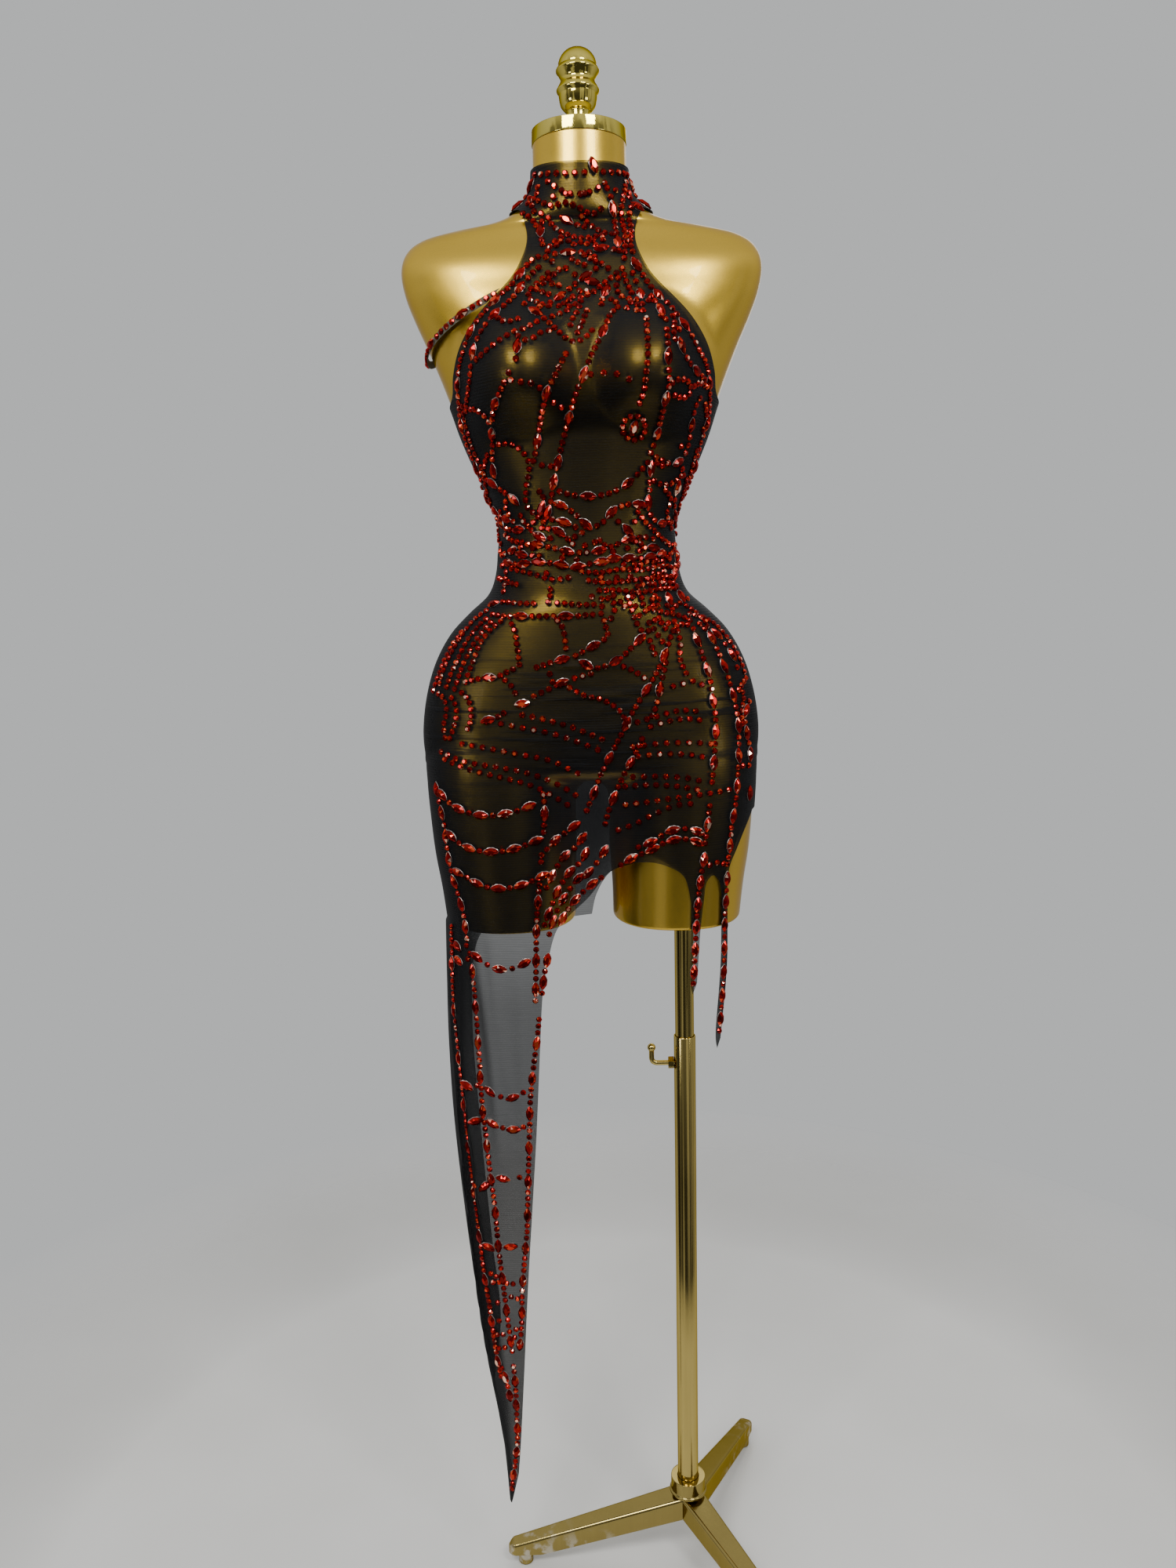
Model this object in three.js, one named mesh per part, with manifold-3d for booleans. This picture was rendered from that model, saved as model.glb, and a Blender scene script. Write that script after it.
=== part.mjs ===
// A sheer mesh stage dress worn by a limbless display form on a telescopic stand.
// Millimetres, +Z up, X to the viewer's right, Y away from the viewer, the floor at Z = 0.
// The torso's axis is X = 0, Y = 0 while the pieces are made. At the end the whole group is moved
// so that the middle of its footprint is the origin.

import * as THREE from 'three';
import { mergeVertices } from 'three/addons/utils/BufferGeometryUtils.js';
import Module from 'manifold-3d';

// ---------------------------------------------------------------- driving dimensions

const SEAT_GAP = 0.3; // between pieces that touch
const SEAM_GAP = 0.3; // between two panels at a seam
const CLOTH_GAP = 1.4; // between the form's skin and the inside of the cloth
const CLOTH_WALL = 1.5; // thickness of the cloth

const FRONT_COLUMNS = 24; // strips across the front half of a section
const BACK_COLUMNS = 20; // strips across the back half
const STUB_COLUMNS = 14; // strips across each half of a thigh stub
const TALLEST_STRIP = 32; // rows further apart than this get another section between them
const CHAIN_SAMPLES = 60; // points worked out along half a section before it is spaced evenly

const NECK_TOP = 1652; // top of the form's neck
const STUB_END = 830; // flat lower end of the two thigh stubs
const BRIDGE_TOP = 1030; // below this the dress bridges the space between the stubs
const POINT_END = 96; // lowest section of the dress's long point

// The form's torso. Each row is one level section: its height, half its width, its depth to the
// front and to the back of the axis, and how square it is (2 is an ellipse).
const TORSO = [
  { z: NECK_TOP, half: 48.5, front: 48.5, back: 48.5, square: 2 },
  { z: 1642, half: 48.5, front: 48.5, back: 48.5, square: 2 },
  { z: 1625, half: 49, front: 48.5, back: 49, square: 2 },
  { z: 1606, half: 51.5, front: 49, back: 53, square: 2 },
  { z: 1590, half: 64, front: 51, back: 60, square: 1.9 },
  { z: 1578, half: 86, front: 51, back: 65, square: 1.8 },
  { z: 1572, half: 112, front: 49, back: 64, square: 1.7 },
  { z: 1568, half: 142, front: 46, back: 61, square: 1.7 },
  { z: 1561, half: 168, front: 48, back: 61, square: 1.9 },
  { z: 1549, half: 183.5, front: 54, back: 65, square: 2.2 },
  { z: 1530, half: 189.5, front: 67, back: 71, square: 2.5 },
  { z: 1505, half: 186, front: 76, back: 78, square: 2.5 },
  { z: 1480, half: 177, front: 85, back: 83, square: 2.4 },
  { z: 1450, half: 164, front: 91, back: 86, square: 2.3 },
  { z: 1420, half: 152, front: 93, back: 85, square: 2.3 },
  { z: 1390, half: 141, front: 92, back: 82, square: 2.2 },
  { z: 1360, half: 131, front: 89, back: 78, square: 2.2 },
  { z: 1330, half: 118.5, front: 85, back: 75, square: 2.2 },
  { z: 1300, half: 104.5, front: 82, back: 73, square: 2.2 },
  { z: 1270, half: 93.5, front: 80, back: 72, square: 2.2 },
  { z: 1240, half: 95, front: 80, back: 74, square: 2.2 },
  { z: 1212, half: 99, front: 81, back: 77, square: 2.2 },
  { z: 1192, half: 108, front: 83, back: 81, square: 2.2 },
  { z: 1174, half: 128, front: 86, back: 87, square: 2.3 },
  { z: 1152, half: 149.5, front: 88, back: 95, square: 2.3 },
  { z: 1122, half: 167, front: 90, back: 105, square: 2.4 },
  { z: 1088, half: 178, front: 91, back: 113, square: 2.5 },
  { z: 1052, half: 183.5, front: 91, back: 118, square: 2.6 },
  { z: 1024, half: 183, front: 89, back: 116, square: 2.6 },
  { z: 1006, half: 178, front: 84, back: 109, square: 2.5 },
  { z: 995, half: 146, front: 68, back: 89, square: 2.3 },
  { z: 989, half: 88, front: 42, back: 54, square: 2 },
];

// One thigh stub, from inside the hips to its flat end. x is its middle line's distance from the
// torso's axis.
const STUB = [
  { z: 1066, x: 97, half: 70, front: 74, back: 88, square: 2.2 },
  { z: 1022, x: 99.5, half: 81.5, front: 84, back: 104, square: 2.3 },
  { z: 990, x: 99.5, half: 82, front: 87, back: 105, square: 2.3 },
  { z: 950, x: 99, half: 80.5, front: 87, back: 101, square: 2.2 },
  { z: 910, x: 97.5, half: 78.5, front: 85, back: 96, square: 2.2 },
  { z: 870, x: 95.5, half: 74.5, front: 82.5, back: 91, square: 2.2 },
  { z: STUB_END, x: 93.5, half: 72, front: 80, back: 87, square: 2.2 },
];

// The free cloth of the long point below the left stub: the section that it hangs round. y is where
// its side seam hangs, forward of the torso's axis as the cloth narrows.
const POINT = [
  { z: STUB_END, x: -94.5, y: 0, half: 73.5, front: 80, back: 87, square: 2.2 },
  { z: 770, x: -95, y: -2, half: 71.5, front: 77, back: 72, square: 2.2 },
  { z: 690, x: -96, y: -6, half: 68, front: 70, back: 52, square: 2.2 },
  { z: 600, x: -98, y: -13, half: 60.5, front: 60, back: 36, square: 2.2 },
  { z: 500, x: -99.5, y: -21, half: 50, front: 49, back: 26, square: 2.2 },
  { z: 400, x: -101, y: -29, half: 38, front: 38, back: 19, square: 2.2 },
  { z: 300, x: -101.5, y: -36, half: 24, front: 27, back: 13, square: 2.2 },
  { z: 200, x: -103, y: -42, half: 13, front: 16, back: 8, square: 2.2 },
  { z: POINT_END, x: -107, y: -46, half: 6, front: 8, back: 4, square: 2.2 },
];

// Soft cups that fill the bust of the garment.
const CUP = { x: 72, z: 1406, out: 38, across: 68, above: 88, below: 60 };

// The halter armhole, from the side of the neck down to the side seam. The same for both sides,
// for the front and the back.
const ARMHOLE = [
  { x: 90, z: 1588 },
  { x: 64, z: 1583 },
  { x: 57, z: 1566 },
  { x: 54.5, z: 1548 },
  { x: 58, z: 1530 },
  { x: 69.5, z: 1508 },
  { x: 88, z: 1487.5 },
  { x: 109, z: 1464 },
  { x: 125, z: 1440 },
  { x: 134, z: 1416 },
  { x: 138, z: 1397 },
  { x: 152, z: 1385 },
];
const COLLAR_SIDE = 1637; // height of the collar's top edge over the shoulders
const COLLAR_FRONT = 1622; // at the middle of the front
const COLLAR_BACK = 1641; // at the middle of the back
const OUTSIDE = 260; // an X that lies outside every section

// The front hem from the right side seam to the tip of the long point, a list for each stretch
// between two corners.
const HEM_RIGHT = [
  { x: OUTSIDE, z: 958 },
  { x: 176, z: 956 },
  { x: 165, z: 937 },
  { x: 156, z: 919 },
  { x: 147, z: 899 },
  { x: 144.5, z: 878 },
];
const TAIL_LONG_OUTER = [
  { x: 145, z: 790 },
  { x: 136.5, z: 704 },
];
const TAIL_LONG_TIP = { x: 132.5, z: 693 };
const TAIL_LONG_INNER = [
  { x: 131, z: 715 },
  { x: 137, z: 790 },
  { x: 138, z: 868 },
];
const HEM_BETWEEN_TAILS = [
  { x: 135, z: 884 },
  { x: 128, z: 892 },
  { x: 120.5, z: 884 },
  { x: 118, z: 866 },
];
const TAIL_SHORT_OUTER = [
  { x: 114, z: 830 },
  { x: 110, z: 772 },
];
const TAIL_SHORT_TIP = { x: 105, z: 759 };
const TAIL_SHORT_INNER = [
  { x: 102.5, z: 778 },
  { x: 103.5, z: 830 },
  { x: 104, z: 862 },
];
const HEM_ARCH = [
  { x: 97, z: 891 },
  { x: 79, z: 904 },
  { x: 56, z: 909.5 },
  { x: 33, z: 906 },
  { x: 14, z: 897 },
  { x: -6, z: 872 },
  { x: -28, z: 851 },
  { x: -43, z: 832 },
  { x: -53, z: 795 },
  { x: -59, z: 760 },
  { x: -64, z: 690 },
  { x: -70, z: 600 },
  { x: -78, z: 500 },
  { x: -86, z: 400 },
  { x: -93, z: 300 },
  { x: -100, z: 205 },
  { x: -104, z: 160 },
];
const POINT_TIP = { x: -114, z: 116 };

// The back hem from the right side seam to where the point's back part meets the side seam.
const BACK_HEM = [
  { x: OUTSIDE, z: 958 },
  { x: 176, z: 956 },
  { x: 150, z: 925 },
  { x: 105, z: 896 },
  { x: 60, z: 880 },
  { x: 22, z: 858 },
  { x: 4, z: 832 },
  { x: -3, z: 806 },
];
const BACK_POINT = [
  { x: -60, z: 801 },
  { x: -110, z: 800 },
  { x: -134, z: 770 },
  { x: -134, z: 650 },
  { x: -129, z: 520 },
  { x: -122, z: 400 },
  { x: -118, z: 330 },
  { x: -130, z: 270 },
];

// The strap round the left shoulder: its width, its height at the side, how much higher its two
// ends are, and the angle round the section at which they meet the armholes.
const STRAP = { width: 8, wall: 1.5, lift: 2.8, z: 1439, rise: 55, reach: 72, steps: 30 };

const POLE = { x: 102.5, sides: 24 }; // the pole stands under the right thigh stub
const MAST = { radius: 11, bottom: 300, top: 980 };
const TUBE = { radius: 12.7, bore: 11.5, top: 681 };
const HUB = {
  base: 56, floor: 60, stem: 15, flangeLow: 85.3, flangeHigh: 88, flange: 23, collar: 21.2, top: 105, bevel: 1,
};
const LEG = { count: 3, first: 183.3, reach: 226, rootWidth: 32, tipWidth: 19, rootTop: 85, rootBase: 57 };
const LEG_TIP = { top: 29, base: 14, seat: 185 };
const FOOT = { radius: 9, at: 205, bevel: 1.5 };
const LOCK = {
  z: 647.5, rod: 3, hole: 3.3, nut: 13, nutLength: 6.5, elbow: 63.5, rise: 17, bend: 7, ball: 4.8, sides: 10,
};
const CAP = { radius: 49.3, height: 14, bevel: 0.8 };

// The finial's outline: height above the cap and radius.
const FINIAL = [
  { z: 0, r: 15.6 },
  { z: 6, r: 15.6 },
  { z: 8.5, r: 13.6 },
  { z: 9.5, r: 11.8 },
  { z: 19, r: 11.8 },
  { z: 20, r: 14.6 },
  { z: 24, r: 18 },
  { z: 30, r: 19.6 },
  { z: 35, r: 20.2 },
  { z: 38.5, r: 22.2 },
  { z: 41, r: 21.6 },
  { z: 46.5, r: 18.6 },
  { z: 50, r: 18.2 },
  { z: 54, r: 20.2 },
  { z: 57.2, r: 22.4 },
  { z: 59.4, r: 22 },
  { z: 62, r: 20.2 },
];
const DOME = { z: 62, radius: 20.2, height: 18.5, steps: 6 };
const FINIAL_SIDES = 20;

// ---------------------------------------------------------------- materials

function finish(color, roughness, metalness) {
  return new THREE.MeshStandardMaterial({ color, roughness, metalness });
}

const mesh = finish(0x15130f, 0.7, 0);
const goldPaint = finish(0xb8912f, 0.28, 0.6);
const goldPlate = finish(0xd9b44a, 0.12, 1);
const brass = finish(0xb09a5e, 0.18, 1);

// ---------------------------------------------------------------- solids and booleans

const wasm = await Module();
wasm.setup();

function solidFrom(geometry) {
  const bare = geometry.clone();
  bare.deleteAttribute('normal');
  bare.deleteAttribute('uv');
  const merged = mergeVertices(bare, 1e-3);
  const vertProperties = new Float32Array(merged.attributes.position.array);
  const triVerts = new Uint32Array(merged.index.array);
  return new wasm.Manifold(new wasm.Mesh({ numProp: 3, vertProperties, triVerts }));
}

function geometryFrom(solid) {
  const { vertProperties, triVerts } = solid.getMesh();
  const geometry = new THREE.BufferGeometry();
  geometry.setAttribute('position', new THREE.BufferAttribute(vertProperties, 3));
  geometry.setIndex(new THREE.BufferAttribute(triVerts, 1));
  geometry.computeVertexNormals();
  return geometry;
}

// Makes a geometry from corners and triangles, turned so that its faces point out.
function closedGeometry(corners, triangles) {
  let volume = 0;
  for (const [a, b, c] of triangles) {
    volume += corners[a].dot(corners[b].clone().cross(corners[c]));
  }
  const order = volume < 0 ? ([a, b, c]) => [a, c, b] : (triangle) => triangle;
  const geometry = new THREE.BufferGeometry();
  geometry.setFromPoints(corners);
  geometry.setIndex(triangles.flatMap(order));
  geometry.computeVertexNormals();
  return geometry;
}

function quad(a, b, c, d) {
  return [[a, b, c], [a, c, d]];
}

// A closed solid through rings of equally many points, each end closed by a fan from its middle.
function loft(rings) {
  const count = rings[0].length;
  const corners = rings.flat();
  const triangles = [];
  for (let row = 0; row + 1 < rings.length; row += 1) {
    for (let i = 0; i < count; i += 1) {
      const next = (i + 1) % count;
      const here = row * count;
      triangles.push(...quad(here + i, here + next, here + count + next, here + count + i));
    }
  }
  for (const row of [0, rings.length - 1]) {
    const middle = corners.length;
    const sum = rings[row].reduce((total, point) => total.add(point), new THREE.Vector3());
    corners.push(sum.divideScalar(count));
    for (let i = 0; i < count; i += 1) {
      const pair = [row * count + i, row * count + ((i + 1) % count)];
      triangles.push(row === 0 ? [middle, pair[1], pair[0]] : [middle, pair[0], pair[1]]);
    }
  }
  return closedGeometry(corners, triangles);
}

// A closed wall between two sheets of equally many rows and columns.
function wall(outer, inner) {
  const rows = outer.length;
  const columns = outer[0].length;
  const corners = [...outer.flat(), ...inner.flat()];
  const out = (row, column) => row * columns + column;
  const within = (row, column) => rows * columns + row * columns + column;
  const triangles = [];
  for (let row = 0; row + 1 < rows; row += 1) {
    for (let column = 0; column + 1 < columns; column += 1) {
      const [r, c] = [row + 1, column + 1];
      triangles.push(...quad(out(row, column), out(row, c), out(r, c), out(r, column)));
      triangles.push(...quad(within(row, column), within(r, column), within(r, c), within(row, c)));
    }
    for (const [column, flip] of [[0, false], [columns - 1, true]]) {
      const edge = [out(row, column), out(row + 1, column), within(row + 1, column), within(row, column)];
      triangles.push(...quad(...(flip ? edge.reverse() : edge)));
    }
  }
  for (let column = 0; column + 1 < columns; column += 1) {
    for (const [row, flip] of [[0, true], [rows - 1, false]]) {
      const edge = [out(row, column), out(row, column + 1), within(row, column + 1), within(row, column)];
      triangles.push(...quad(...(flip ? edge.reverse() : edge)));
    }
  }
  return closedGeometry(corners, triangles);
}

// A round solid about Z from an outline of [radius, height] pairs.
function turned(outline, sides = POLE.sides) {
  const points = outline.map(([radius, height]) => new THREE.Vector2(radius, height));
  const geometry = new THREE.LatheGeometry(points, sides);
  return geometry.rotateX(Math.PI / 2);
}

function cylinder(radius, bottom, top, sides = POLE.sides) {
  return turned([[0, bottom], [radius, bottom], [radius, top], [0, top]], sides);
}

// A flat outline in X and Z pushed through from Y = near to Y = far.
function prism(outline, near, far) {
  const geometry = new THREE.ExtrudeGeometry(outline, {
    depth: far - near, bevelEnabled: false, curveSegments: 2,
  });
  return geometry.rotateX(Math.PI / 2).translate(0, far, 0);
}

// ---------------------------------------------------------------- sections of the body

// Reads every column of a table of rows at a height, on a smooth curve through the rows.
function rowAt(rows, z) {
  const last = rows.length - 2;
  const i = Math.min(last, Math.max(0, rows.findIndex((row) => row.z <= z) - 1));
  const span = rows[i + 1].z - rows[i].z;
  const t = (z - rows[i].z) / span;
  const slope = (k, name) => {
    const [a, b] = [rows[Math.max(0, k - 1)], rows[Math.min(rows.length - 1, k + 1)]];
    return (b[name] - a[name]) / (b.z - a.z);
  };
  const read = (name) => {
    const [from, to] = [rows[i][name], rows[i + 1][name]];
    const bow = t * (1 - t);
    const [start, end] = [slope(i, name) * span, slope(i + 1, name) * span];
    return from + (to - from) * t * t * (3 - 2 * t) + bow * ((1 - t) * start - t * end);
  };
  return Object.fromEntries(Object.keys(rows[0]).map((name) => [name, name === 'z' ? z : read(name)]));
}

function cupDepth(x, z) {
  const tall = z > CUP.z ? CUP.above : CUP.below;
  const far = ((Math.abs(x) - CUP.x) / CUP.across) ** 2 + ((z - CUP.z) / tall) ** 2;
  return far < 1 ? CUP.out * (1 - far) ** 1.5 : 0;
}

// A point of a section, seen from above: angle runs from pi at its left end to 0 at its right end,
// and side is -1 for the front and 1 for the back.
function skinPoint({ z, x = 0, y = 0, half, front, back, square }, angle, side, cups) {
  const across = Math.sign(Math.cos(angle)) * Math.abs(Math.cos(angle)) ** (2 / square);
  const deep = Math.abs(Math.sin(angle)) ** (2 / square);
  const px = x + half * across;
  const cup = cups && side < 0 ? cupDepth(px, z) * Math.min(1, deep * 1.5) : 0;
  return new THREE.Vector2(px, y + side * (deep * (side < 0 ? front : back) + cup));
}

// Half a section from its left end to its right end.
function halfSection(row, side, cups = false) {
  const points = [];
  for (let i = 0; i <= CHAIN_SAMPLES; i += 1) {
    points.push(skinPoint(row, Math.PI * (1 - i / CHAIN_SAMPLES), side, cups));
  }
  return points;
}

// The chain's points spaced evenly along it.
function evenly(chain, columns) {
  const along = [0];
  for (let i = 1; i < chain.length; i += 1) {
    along.push(along[i - 1] + chain[i].distanceTo(chain[i - 1]));
  }
  const spaced = [];
  let k = 0;
  for (let column = 0; column <= columns; column += 1) {
    const want = (along.at(-1) * column) / columns;
    while (k < chain.length - 2 && along[k + 1] < want) {
      k += 1;
    }
    const t = (want - along[k]) / (along[k + 1] - along[k]);
    spaced.push(chain[k].clone().lerp(chain[k + 1], t));
  }
  return spaced;
}

// One side of the tightest band round some points: the front for side -1, the back for side 1, from
// the leftmost point to the rightmost.
function band(points, side) {
  const sorted = [...points].sort((a, b) => a.x - b.x || a.y - b.y);
  const chain = [];
  for (const point of sorted) {
    while (chain.length > 1) {
      const [a, b] = chain.slice(-2);
      const turn = (b.x - a.x) * (point.y - a.y) - (b.y - a.y) * (point.x - a.x);
      if (turn * side < -1e-9) {
        break;
      }
      chain.pop();
    }
    chain.push(point);
  }
  return chain;
}

// The heights of a table's rows, with one more between rows that lie far apart.
function heights(rows) {
  const found = [];
  for (let i = 0; i + 1 < rows.length; i += 1) {
    const gap = rows[i + 1].z - rows[i].z;
    found.push(rows[i].z);
    if (-gap > TALLEST_STRIP) {
      found.push(rows[i].z + gap / 2);
    }
  }
  return [...found, rows.at(-1).z];
}

function ringAt(row, frontColumns, backColumns, cups = false) {
  const front = evenly(halfSection(row, -1, cups), frontColumns);
  const back = evenly(halfSection(row, 1), backColumns);
  const ring = [...front, ...back.slice(1, -1).reverse()];
  return ring.map((point) => new THREE.Vector3(point.x, point.y, row.z));
}

// ---------------------------------------------------------------- the form

function thighStub(side) {
  return loft(STUB.map((row) => ringAt({ ...row, x: side * row.x }, STUB_COLUMNS, STUB_COLUMNS)));
}

function formBody() {
  const torso = loft(heights(TORSO).map((z) => ringAt(rowAt(TORSO, z), FRONT_COLUMNS, BACK_COLUMNS, true)));
  const bore = cylinder(MAST.radius + SEAT_GAP, STUB_END - 10, MAST.top + SEAT_GAP).translate(POLE.x, 0, 0);
  const whole = solidFrom(torso).add(solidFrom(thighStub(-1))).add(solidFrom(thighStub(1)));
  return geometryFrom(whole.subtract(solidFrom(bore)));
}

function neckCap() {
  const low = NECK_TOP + SEAT_GAP;
  const high = low + CAP.height;
  const { radius, bevel } = CAP;
  return turned([
    [0, low], [radius - bevel, low], [radius, low + bevel], [radius, high - bevel], [radius - bevel, high], [0, high],
  ], 40);
}

function finial() {
  const base = NECK_TOP + CAP.height + 2 * SEAT_GAP;
  const outline = [[0, base], ...FINIAL.map(({ r, z }) => [r, base + z])];
  for (let i = 1; i < DOME.steps; i += 1) {
    const angle = (Math.PI / 2) * (i / DOME.steps);
    outline.push([DOME.radius * Math.cos(angle), base + DOME.z + DOME.height * Math.sin(angle)]);
  }
  outline.push([0, base + DOME.z + DOME.height]);
  return turned(outline, FINIAL_SIDES);
}

// ---------------------------------------------------------------- the dress

// The level band that the tight cloth follows at a height: round the torso, round both thighs where
// it bridges the space between them, and below them round the hanging point.
function clothBand(z, side, columns) {
  const points = [];
  if (z > TORSO.at(-1).z) {
    points.push(...halfSection(rowAt(TORSO, z), side, true));
  }
  if (z < STUB[0].z) {
    const right = rowAt(STUB, Math.max(z, STUB_END));
    const left = z > STUB_END ? { ...right, x: -right.x } : rowAt(POINT, z);
    points.push(...halfSection(left, side), ...halfSection(right, side));
  }
  return evenly(band(points, side), columns).map((point) => new THREE.Vector3(point.x, point.y, z));
}

// A panel's wall: its band at every height, moved out along the sheet's normals, with its two long
// edges held off the seams.
function panelWall(side, columns) {
  const levels = heights(TORSO).filter((z) => z > BRIDGE_TOP && z < NECK_TOP);
  levels.push(...heights(STUB).filter((z) => z < BRIDGE_TOP), ...heights(POINT).slice(1));
  const sheet = levels.map((z) => clothBand(z, side, columns));
  const away = (distance) => sheet.map((row, r) => row.map((point, c) => {
    const above = sheet[Math.max(0, r - 1)][c];
    const below = sheet[Math.min(sheet.length - 1, r + 1)][c];
    const along = row[Math.min(columns, c + 1)].clone().sub(row[Math.max(0, c - 1)]);
    const normal = along.cross(below.clone().sub(above)).normalize().multiplyScalar(side);
    const moved = point.clone().addScaledVector(normal, distance);
    if (c === 0 || c === columns) {
      moved.y = point.y + (side * SEAM_GAP) / 2;
    }
    return moved;
  }));
  return wall(away(CLOTH_GAP + CLOTH_WALL), away(CLOTH_GAP));
}

function spots(list, mirror = 1) {
  return list.map(({ x, z }) => new THREE.Vector2(mirror * x, z));
}

function splineTo(outline, list, mirror) {
  outline.splineThru(spots(list, mirror));
}

function lineTo(outline, { x, z }) {
  outline.lineTo(x, z);
}

// The upper outline that both panels share, from the left side seam over the collar to the right.
function halterOutline(collarMiddle) {
  const outline = new THREE.Shape();
  const [neck, ...downArmhole] = ARMHOLE;
  const side = ARMHOLE.at(-1);
  outline.moveTo(-OUTSIDE, side.z);
  outline.lineTo(-side.x, side.z);
  splineTo(outline, [...ARMHOLE].reverse().slice(1), -1);
  outline.lineTo(-neck.x, COLLAR_SIDE);
  outline.quadraticCurveTo(0, 2 * collarMiddle - COLLAR_SIDE, neck.x, COLLAR_SIDE);
  outline.lineTo(neck.x, neck.z);
  splineTo(outline, downArmhole, 1);
  outline.lineTo(OUTSIDE, side.z);
  return outline;
}

function frontOutline() {
  const outline = halterOutline(COLLAR_FRONT);
  lineTo(outline, HEM_RIGHT[0]);
  lineTo(outline, HEM_RIGHT[1]);
  splineTo(outline, HEM_RIGHT.slice(2));
  splineTo(outline, TAIL_LONG_OUTER);
  lineTo(outline, TAIL_LONG_TIP);
  splineTo(outline, TAIL_LONG_INNER);
  splineTo(outline, HEM_BETWEEN_TAILS);
  splineTo(outline, TAIL_SHORT_OUTER);
  lineTo(outline, TAIL_SHORT_TIP);
  splineTo(outline, TAIL_SHORT_INNER);
  splineTo(outline, HEM_ARCH);
  lineTo(outline, POINT_TIP);
  outline.lineTo(-OUTSIDE, POINT_TIP.z);
  return outline;
}

function backOutline() {
  const outline = halterOutline(COLLAR_BACK);
  lineTo(outline, BACK_HEM[0]);
  lineTo(outline, BACK_HEM[1]);
  splineTo(outline, BACK_HEM.slice(2));
  splineTo(outline, BACK_POINT);
  outline.lineTo(-OUTSIDE, BACK_POINT.at(-1).z);
  return outline;
}

const frontPrism = () => prism(frontOutline(), -300, 60);
const backPrism = () => prism(backOutline(), -60, 300);

function dressFront() {
  return geometryFrom(solidFrom(panelWall(-1, FRONT_COLUMNS)).intersect(solidFrom(frontPrism())));
}

function dressBack() {
  return geometryFrom(solidFrom(panelWall(1, BACK_COLUMNS)).intersect(solidFrom(backPrism())));
}

// The strap follows the form's skin round the outside of the left shoulder. Each end stops a seam's
// gap from the panel's armhole edge.
function armStrap() {
  const reach = THREE.MathUtils.degToRad(STRAP.reach);
  const onSkin = (angle) => {
    const z = STRAP.z + STRAP.rise * (Math.abs(angle) / reach) ** 1.5;
    const { x, y } = skinPoint(rowAt(TORSO, z), Math.PI - Math.abs(angle), angle < 0 ? -1 : 1, true);
    return new THREE.Vector3(x, y, z);
  };
  const rings = [];
  for (let i = 0; i <= STRAP.steps; i += 1) {
    const angle = reach * ((2 * i) / STRAP.steps - 1);
    const here = onSkin(angle);
    const along = onSkin(angle + 0.01).sub(onSkin(angle - 0.01)).normalize();
    const out = new THREE.Vector3(here.x, here.y * 1.6, 0).normalize();
    out.addScaledVector(along, -out.dot(along)).normalize();
    const across = out.clone().cross(along);
    const corner = (distance, side) => here.clone()
      .addScaledVector(out, distance)
      .addScaledVector(across, (side * STRAP.width) / 2);
    const [low, high] = [CLOTH_GAP + STRAP.lift, CLOTH_GAP + STRAP.lift + STRAP.wall];
    rings.push([corner(low, -1), corner(low, 1), corner(high, 1), corner(high, -1)]);
  }
  const aside = SEAM_GAP;
  const front = prism(frontOutline(), -300, 0).translate(-aside, 0, aside);
  const back = prism(backOutline(), 0, 300).translate(-aside, 0, aside);
  return geometryFrom(solidFrom(loft(rings)).subtract(solidFrom(front)).subtract(solidFrom(back)));
}

// ---------------------------------------------------------------- the stand

function ringTube({ radius, bore }, bottom, top) {
  return turned([[bore, bottom], [radius, bottom], [radius, top], [bore, top], [bore, bottom]]);
}

// The rod's path runs from the mast's skin through the nut, then bends up to the ball.
function lockLever() {
  const section = new THREE.Shape();
  section.absarc(0, 0, LOCK.rod, 0, 2 * Math.PI);
  const tip = POLE.x - MAST.radius - SEAT_GAP;
  const path = new THREE.CurvePath();
  const point = (x, z) => new THREE.Vector3(x, 0, z);
  const { elbow, bend, rise, z } = LOCK;
  path.add(new THREE.LineCurve3(point(tip, z), point(elbow + bend, z)));
  path.add(new THREE.QuadraticBezierCurve3(point(elbow + bend, z), point(elbow, z), point(elbow, z + bend)));
  path.add(new THREE.LineCurve3(point(elbow, z + bend), point(elbow, z + rise)));
  const rod = new THREE.ExtrudeGeometry(section, {
    steps: 9, bevelEnabled: false, extrudePath: path, curveSegments: LOCK.sides / 2,
  });
  const ball = new THREE.SphereGeometry(LOCK.ball, LOCK.sides, LOCK.sides / 2 + 2).translate(elbow, 0, z + rise + 2);
  return geometryFrom(solidFrom(rod).add(solidFrom(ball)));
}

function lockHole() {
  return cylinder(LOCK.hole, 0, 40, 12).rotateY(-Math.PI / 2).translate(POLE.x, 0, LOCK.z);
}

function outerTube() {
  const plain = ringTube(TUBE, HUB.floor + SEAT_GAP, TUBE.top).translate(POLE.x, 0, 0);
  return geometryFrom(solidFrom(plain).subtract(solidFrom(lockHole())));
}

function lockNut() {
  const acrossCorners = LOCK.nut / Math.cos(Math.PI / 6);
  const face = POLE.x - TUBE.radius - SEAT_GAP;
  const hex = cylinder(acrossCorners / 2, 0, LOCK.nutLength, 6).rotateY(-Math.PI / 2);
  return geometryFrom(solidFrom(hex.translate(face, 0, LOCK.z)).subtract(solidFrom(lockHole())));
}

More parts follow.
